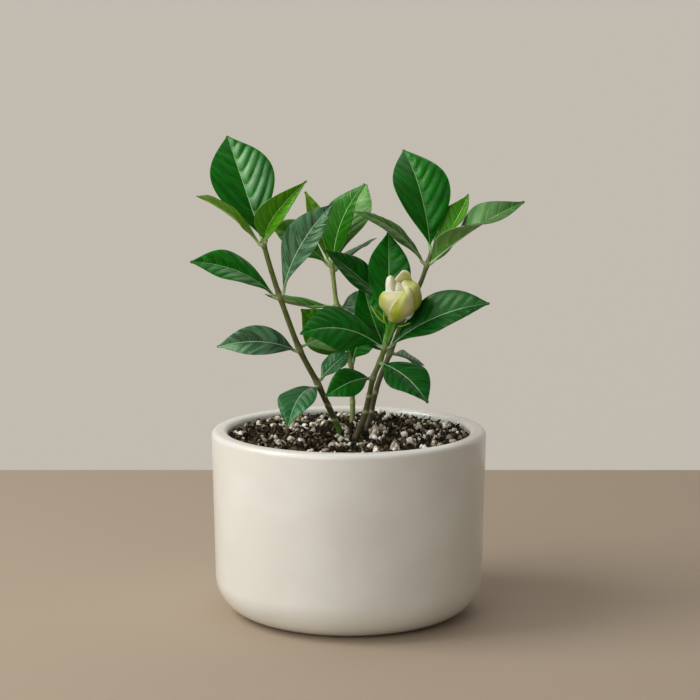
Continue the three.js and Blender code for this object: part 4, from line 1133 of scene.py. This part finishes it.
def make_sheet(name, corners, finish):
    """A flat sheet of the stage, with its corners in rows from the front or from below."""
    select_only()
    bpy.ops.mesh.primitive_plane_add(size=1, location=(0, 0, 0))
    sheet = take(bpy.context.object, name)
    for vertex, corner in zip(sheet.data.vertices, corners):
        vertex.co = corner
    sheet.data.materials.append(finish)


def make_stage(room):
    """A pale table top, a soft pale surround, three soft lights and the camera."""
    wide, half = room.floor_width, BACKDROP_SIZE / 2
    make_sheet("floor", [(x, y, 0) for y in (-wide, room.floor_depth) for x in (-wide, wide)],
               studio_floor())
    make_sheet("backdrop", [(x, BACKDROP_PLACE, z) for z in (-half, half) for x in (-half, half)],
               lit_paper(room))
    world = bpy.data.worlds.new("studio")
    bpy.context.scene.world = world
    world.use_nodes = True
    surround = world.node_tree.nodes["Background"]
    surround.inputs["Color"].default_value = (*room.surround, 1)
    surround.inputs["Strength"].default_value = room.surround_strength
    for name, (place, target, size, colour) in LIGHTS.items():
        make_light(name, place, target, size, getattr(room, name + "_power"), colour)
    camera = bpy.data.cameras.new("camera")
    camera.sensor_width = 36
    camera.lens = camera.sensor_width / 2 / math.tan(math.radians(VIEW_ANGLE / 2))
    camera.clip_start, camera.clip_end = 0.05, 30
    eye = put("camera", camera)
    eye.location = VIEW_PLACE
    eye.rotation_euler = (math.radians(90 - VIEW_PITCH), 0, 0)
    bpy.context.scene.camera = eye
    bpy.context.scene.view_settings.view_transform = "Standard"


class GardeniaPlanter(bpy.types.PropertyGroup):
    rim_radius: FloatProperty(
        name="Rim radius", description="Outer radius of the planter at its rim",
        default=0.075, min=0.03, unit="LENGTH")
    height: FloatProperty(
        name="Height", description="Height of the planter", default=0.101, min=0.03, unit="LENGTH")
    wall: FloatProperty(
        name="Wall", description="Thickness of the planter's wall", default=0.009, min=0.002,
        unit="LENGTH")


class GardeniaMix(bpy.types.PropertyGroup):
    bark_count: IntProperty(
        name="Bark crumbs", description="How many crumbs of bark lie on the mix", default=1500, min=0)
    chip_count: IntProperty(
        name="Bark chips", description="How many coarse chips of bark lie on the mix",
        default=330, min=0)
    twig_count: IntProperty(
        name="Thin bits", description="How many thin bits of bark stick out of the mix",
        default=160, min=0)
    perlite_count: IntProperty(
        name="Perlite grains", description="How many grains of perlite lie on the mix",
        default=285, min=0)
    crumb_spacing: FloatProperty(
        name="Crumb spacing", description="Width of the bed's crumbs in millimetres",
        default=3.6, min=0.5)
    crumb_relief: FloatProperty(
        name="Crumb relief", description="Height of the bed's crumbs in millimetres",
        default=2.2, min=0)


class GardeniaLeaves(bpy.types.PropertyGroup):
    blade_thickness: FloatProperty(
        name="Blade thickness", description="Thickness of a leaf's blade", default=0.00045,
        min=0.0001, unit="LENGTH")
    quilt_height: FloatProperty(
        name="Quilting", description="Height of the blade between its side veins",
        default=0.0009, min=0, unit="LENGTH")
    groove_depth: FloatProperty(
        name="Midrib groove", description="Depth of the groove over the midrib",
        default=0.00015, min=0, unit="LENGTH")
    groove_width: FloatProperty(
        name="Groove width", description="Half the width of the groove over the midrib",
        default=0.0008, min=0.0001, unit="LENGTH")


class GardeniaBud(bpy.types.PropertyGroup):
    petal_thickness: FloatProperty(
        name="Petal thickness", description="Thickness of a petal in the bud", default=0.0009,
        min=0.0002, unit="LENGTH")


class GardeniaRoom(bpy.types.PropertyGroup):
    floor_depth: FloatProperty(
        name="Table depth", description="How far the table reaches behind the planter",
        default=0.373, min=0.1, unit="LENGTH")
    floor_width: FloatProperty(
        name="Table width", description="How far the table reaches to each side and to the front",
        default=6.0, min=0.5, unit="LENGTH")
    backdrop: FloatVectorProperty(
        name="Backdrop", description="Colour of the backdrop", subtype="COLOR",
        default=linear("#C1BAAF")[:3], min=0, max=1)
    surround: FloatVectorProperty(
        name="Surround", description="Colour of the soft surround", subtype="COLOR",
        default=linear("#D0CBC4")[:3], min=0, max=1)
    surround_strength: FloatProperty(
        name="Surround strength", description="Brightness of the surround", default=0.32, min=0)
    key_power: FloatProperty(
        name="Key light", description="Power of the key light from the left", default=14, min=0)
    window_power: FloatProperty(
        name="Window light", description="Power of the broad light from the front left",
        default=14, min=0)
    top_power: FloatProperty(
        name="Top light", description="Power of the light from above and behind", default=1.5, min=0)


class GARDENIA_OT_stage(bpy.types.Operator):
    """Add the table top, the surround, the lights and the camera"""
    bl_idname = "gardenia.stage"
    bl_label = "Stage"

    def execute(self, context):
        make_stage(context.scene.gardenia_room)
        return {"FINISHED"}


class GARDENIA_OT_planter(bpy.types.Operator):
    """Model the glazed planter"""
    bl_idname = "gardenia.planter"
    bl_label = "Planter"

    def execute(self, context):
        make_planter(context.scene.gardenia_planter)
        return {"FINISHED"}


class GARDENIA_OT_mix(bpy.types.Operator):
    """Model the potting mix: the bed of peat, the bark crumbs and the perlite"""
    bl_idname = "gardenia.mix"
    bl_label = "Potting mix"

    def execute(self, context):
        planter, mix = context.scene.gardenia_planter, context.scene.gardenia_mix
        make_soil_bed(planter, mix)
        make_grains(planter, mix, "soil_bark", ("bark", "chip", "twig"),
                    BARK_SHAPES, BARK_BREAKS, BARK_CREASE, composted_bark())
        make_grains(planter, mix, "soil_perlite", ("perlite",),
                    PERLITE_SHAPES, PERLITE_BREAKS, PERLITE_CREASE, expanded_perlite())
        return {"FINISHED"}


class GARDENIA_OT_stems(bpy.types.Operator):
    """Model the four stems"""
    bl_idname = "gardenia.stems"
    bl_label = "Stems"

    def execute(self, context):
        olive = young_bark("olive_bark", "#4C8A22", "#4E5226", "#6C7A36", "#3A3C1E")
        brown = young_bark("brown_bark", "#6A5C46", "#565A38", "#688034", "#3E3C24")
        green = young_bark("green_bark", "#7E8A4C", "#86985A", "#A2B26A", "#66783A")
        for name in STEMS:
            finish = {"stem_left": olive, "stem_back": green}.get(name, brown)
            make_stem(name, "stem_green" if name == "stem_back" else "stem_bark", finish)
        return {"FINISHED"}


class GARDENIA_OT_leaves(bpy.types.Operator):
    """Model the thirty leaves with their stalks"""
    bl_idname = "gardenia.leaves"
    bl_label = "Leaves"

    def execute(self, context):
        finishes = {tone: [waxy_leaf(tone), leaf_underside(tone), leaf_margin(tone), leaf_rib(tone)]
                    for tone in TONES}
        for name, leaf in LEAVES.items():
            make_leaf(name, context.scene.gardenia_leaves, finishes[leaf.tone])
        return {"FINISHED"}


class GARDENIA_OT_calyx(bpy.types.Operator):
    """Model the calyx with its sepals"""
    bl_idname = "gardenia.calyx"
    bl_label = "Calyx"

    def execute(self, context):
        make_calyx()
        return {"FINISHED"}


class GARDENIA_OT_bud(bpy.types.Operator):
    """Model the half-open bud"""
    bl_idname = "gardenia.bud"
    bl_label = "Bud"

    def execute(self, context):
        make_bud(context.scene.gardenia_bud)
        return {"FINISHED"}


class GARDENIA_PT_panel(bpy.types.Panel):
    """Lists the steps that build the potted gardenia"""
    bl_label = "Potted Gardenia"
    bl_idname = "GARDENIA_PT_panel"
    bl_space_type = "VIEW_3D"
    bl_region_type = "UI"
    bl_category = "Gardenia"

    def draw(self, context):
        for settings in SETTINGS:
            box = self.layout.box()
            group = getattr(context.scene, settings)
            for name in group.bl_rna.properties.keys():
                if name not in ("rna_type", "name"):
                    box.prop(group, name)
        for step in STEPS:
            self.layout.operator(step.bl_idname)


SETTINGS = {
    "gardenia_room": GardeniaRoom,
    "gardenia_planter": GardeniaPlanter,
    "gardenia_mix": GardeniaMix,
    "gardenia_leaves": GardeniaLeaves,
    "gardenia_bud": GardeniaBud,
}
STEPS = [GARDENIA_OT_stage, GARDENIA_OT_planter, GARDENIA_OT_mix, GARDENIA_OT_stems,
         GARDENIA_OT_leaves, GARDENIA_OT_calyx, GARDENIA_OT_bud]


def register():
    for group in SETTINGS.values():
        bpy.utils.register_class(group)
    for name, group in SETTINGS.items():
        setattr(bpy.types.Scene, name, PointerProperty(type=group))
    for item in [*STEPS, GARDENIA_PT_panel]:
        bpy.utils.register_class(item)


def unregister():
    for item in reversed([*STEPS, GARDENIA_PT_panel]):
        bpy.utils.unregister_class(item)
    for name, group in SETTINGS.items():
        delattr(bpy.types.Scene, name)
        bpy.utils.unregister_class(group)


def main():
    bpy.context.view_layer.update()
    register()
    bpy.ops.gardenia.stage()
    bpy.ops.gardenia.planter()
    bpy.ops.gardenia.mix()
    bpy.ops.gardenia.stems()
    bpy.ops.gardenia.leaves()
    bpy.ops.gardenia.calyx()
    bpy.ops.gardenia.bud()


if __name__ == "__main__":
    main()
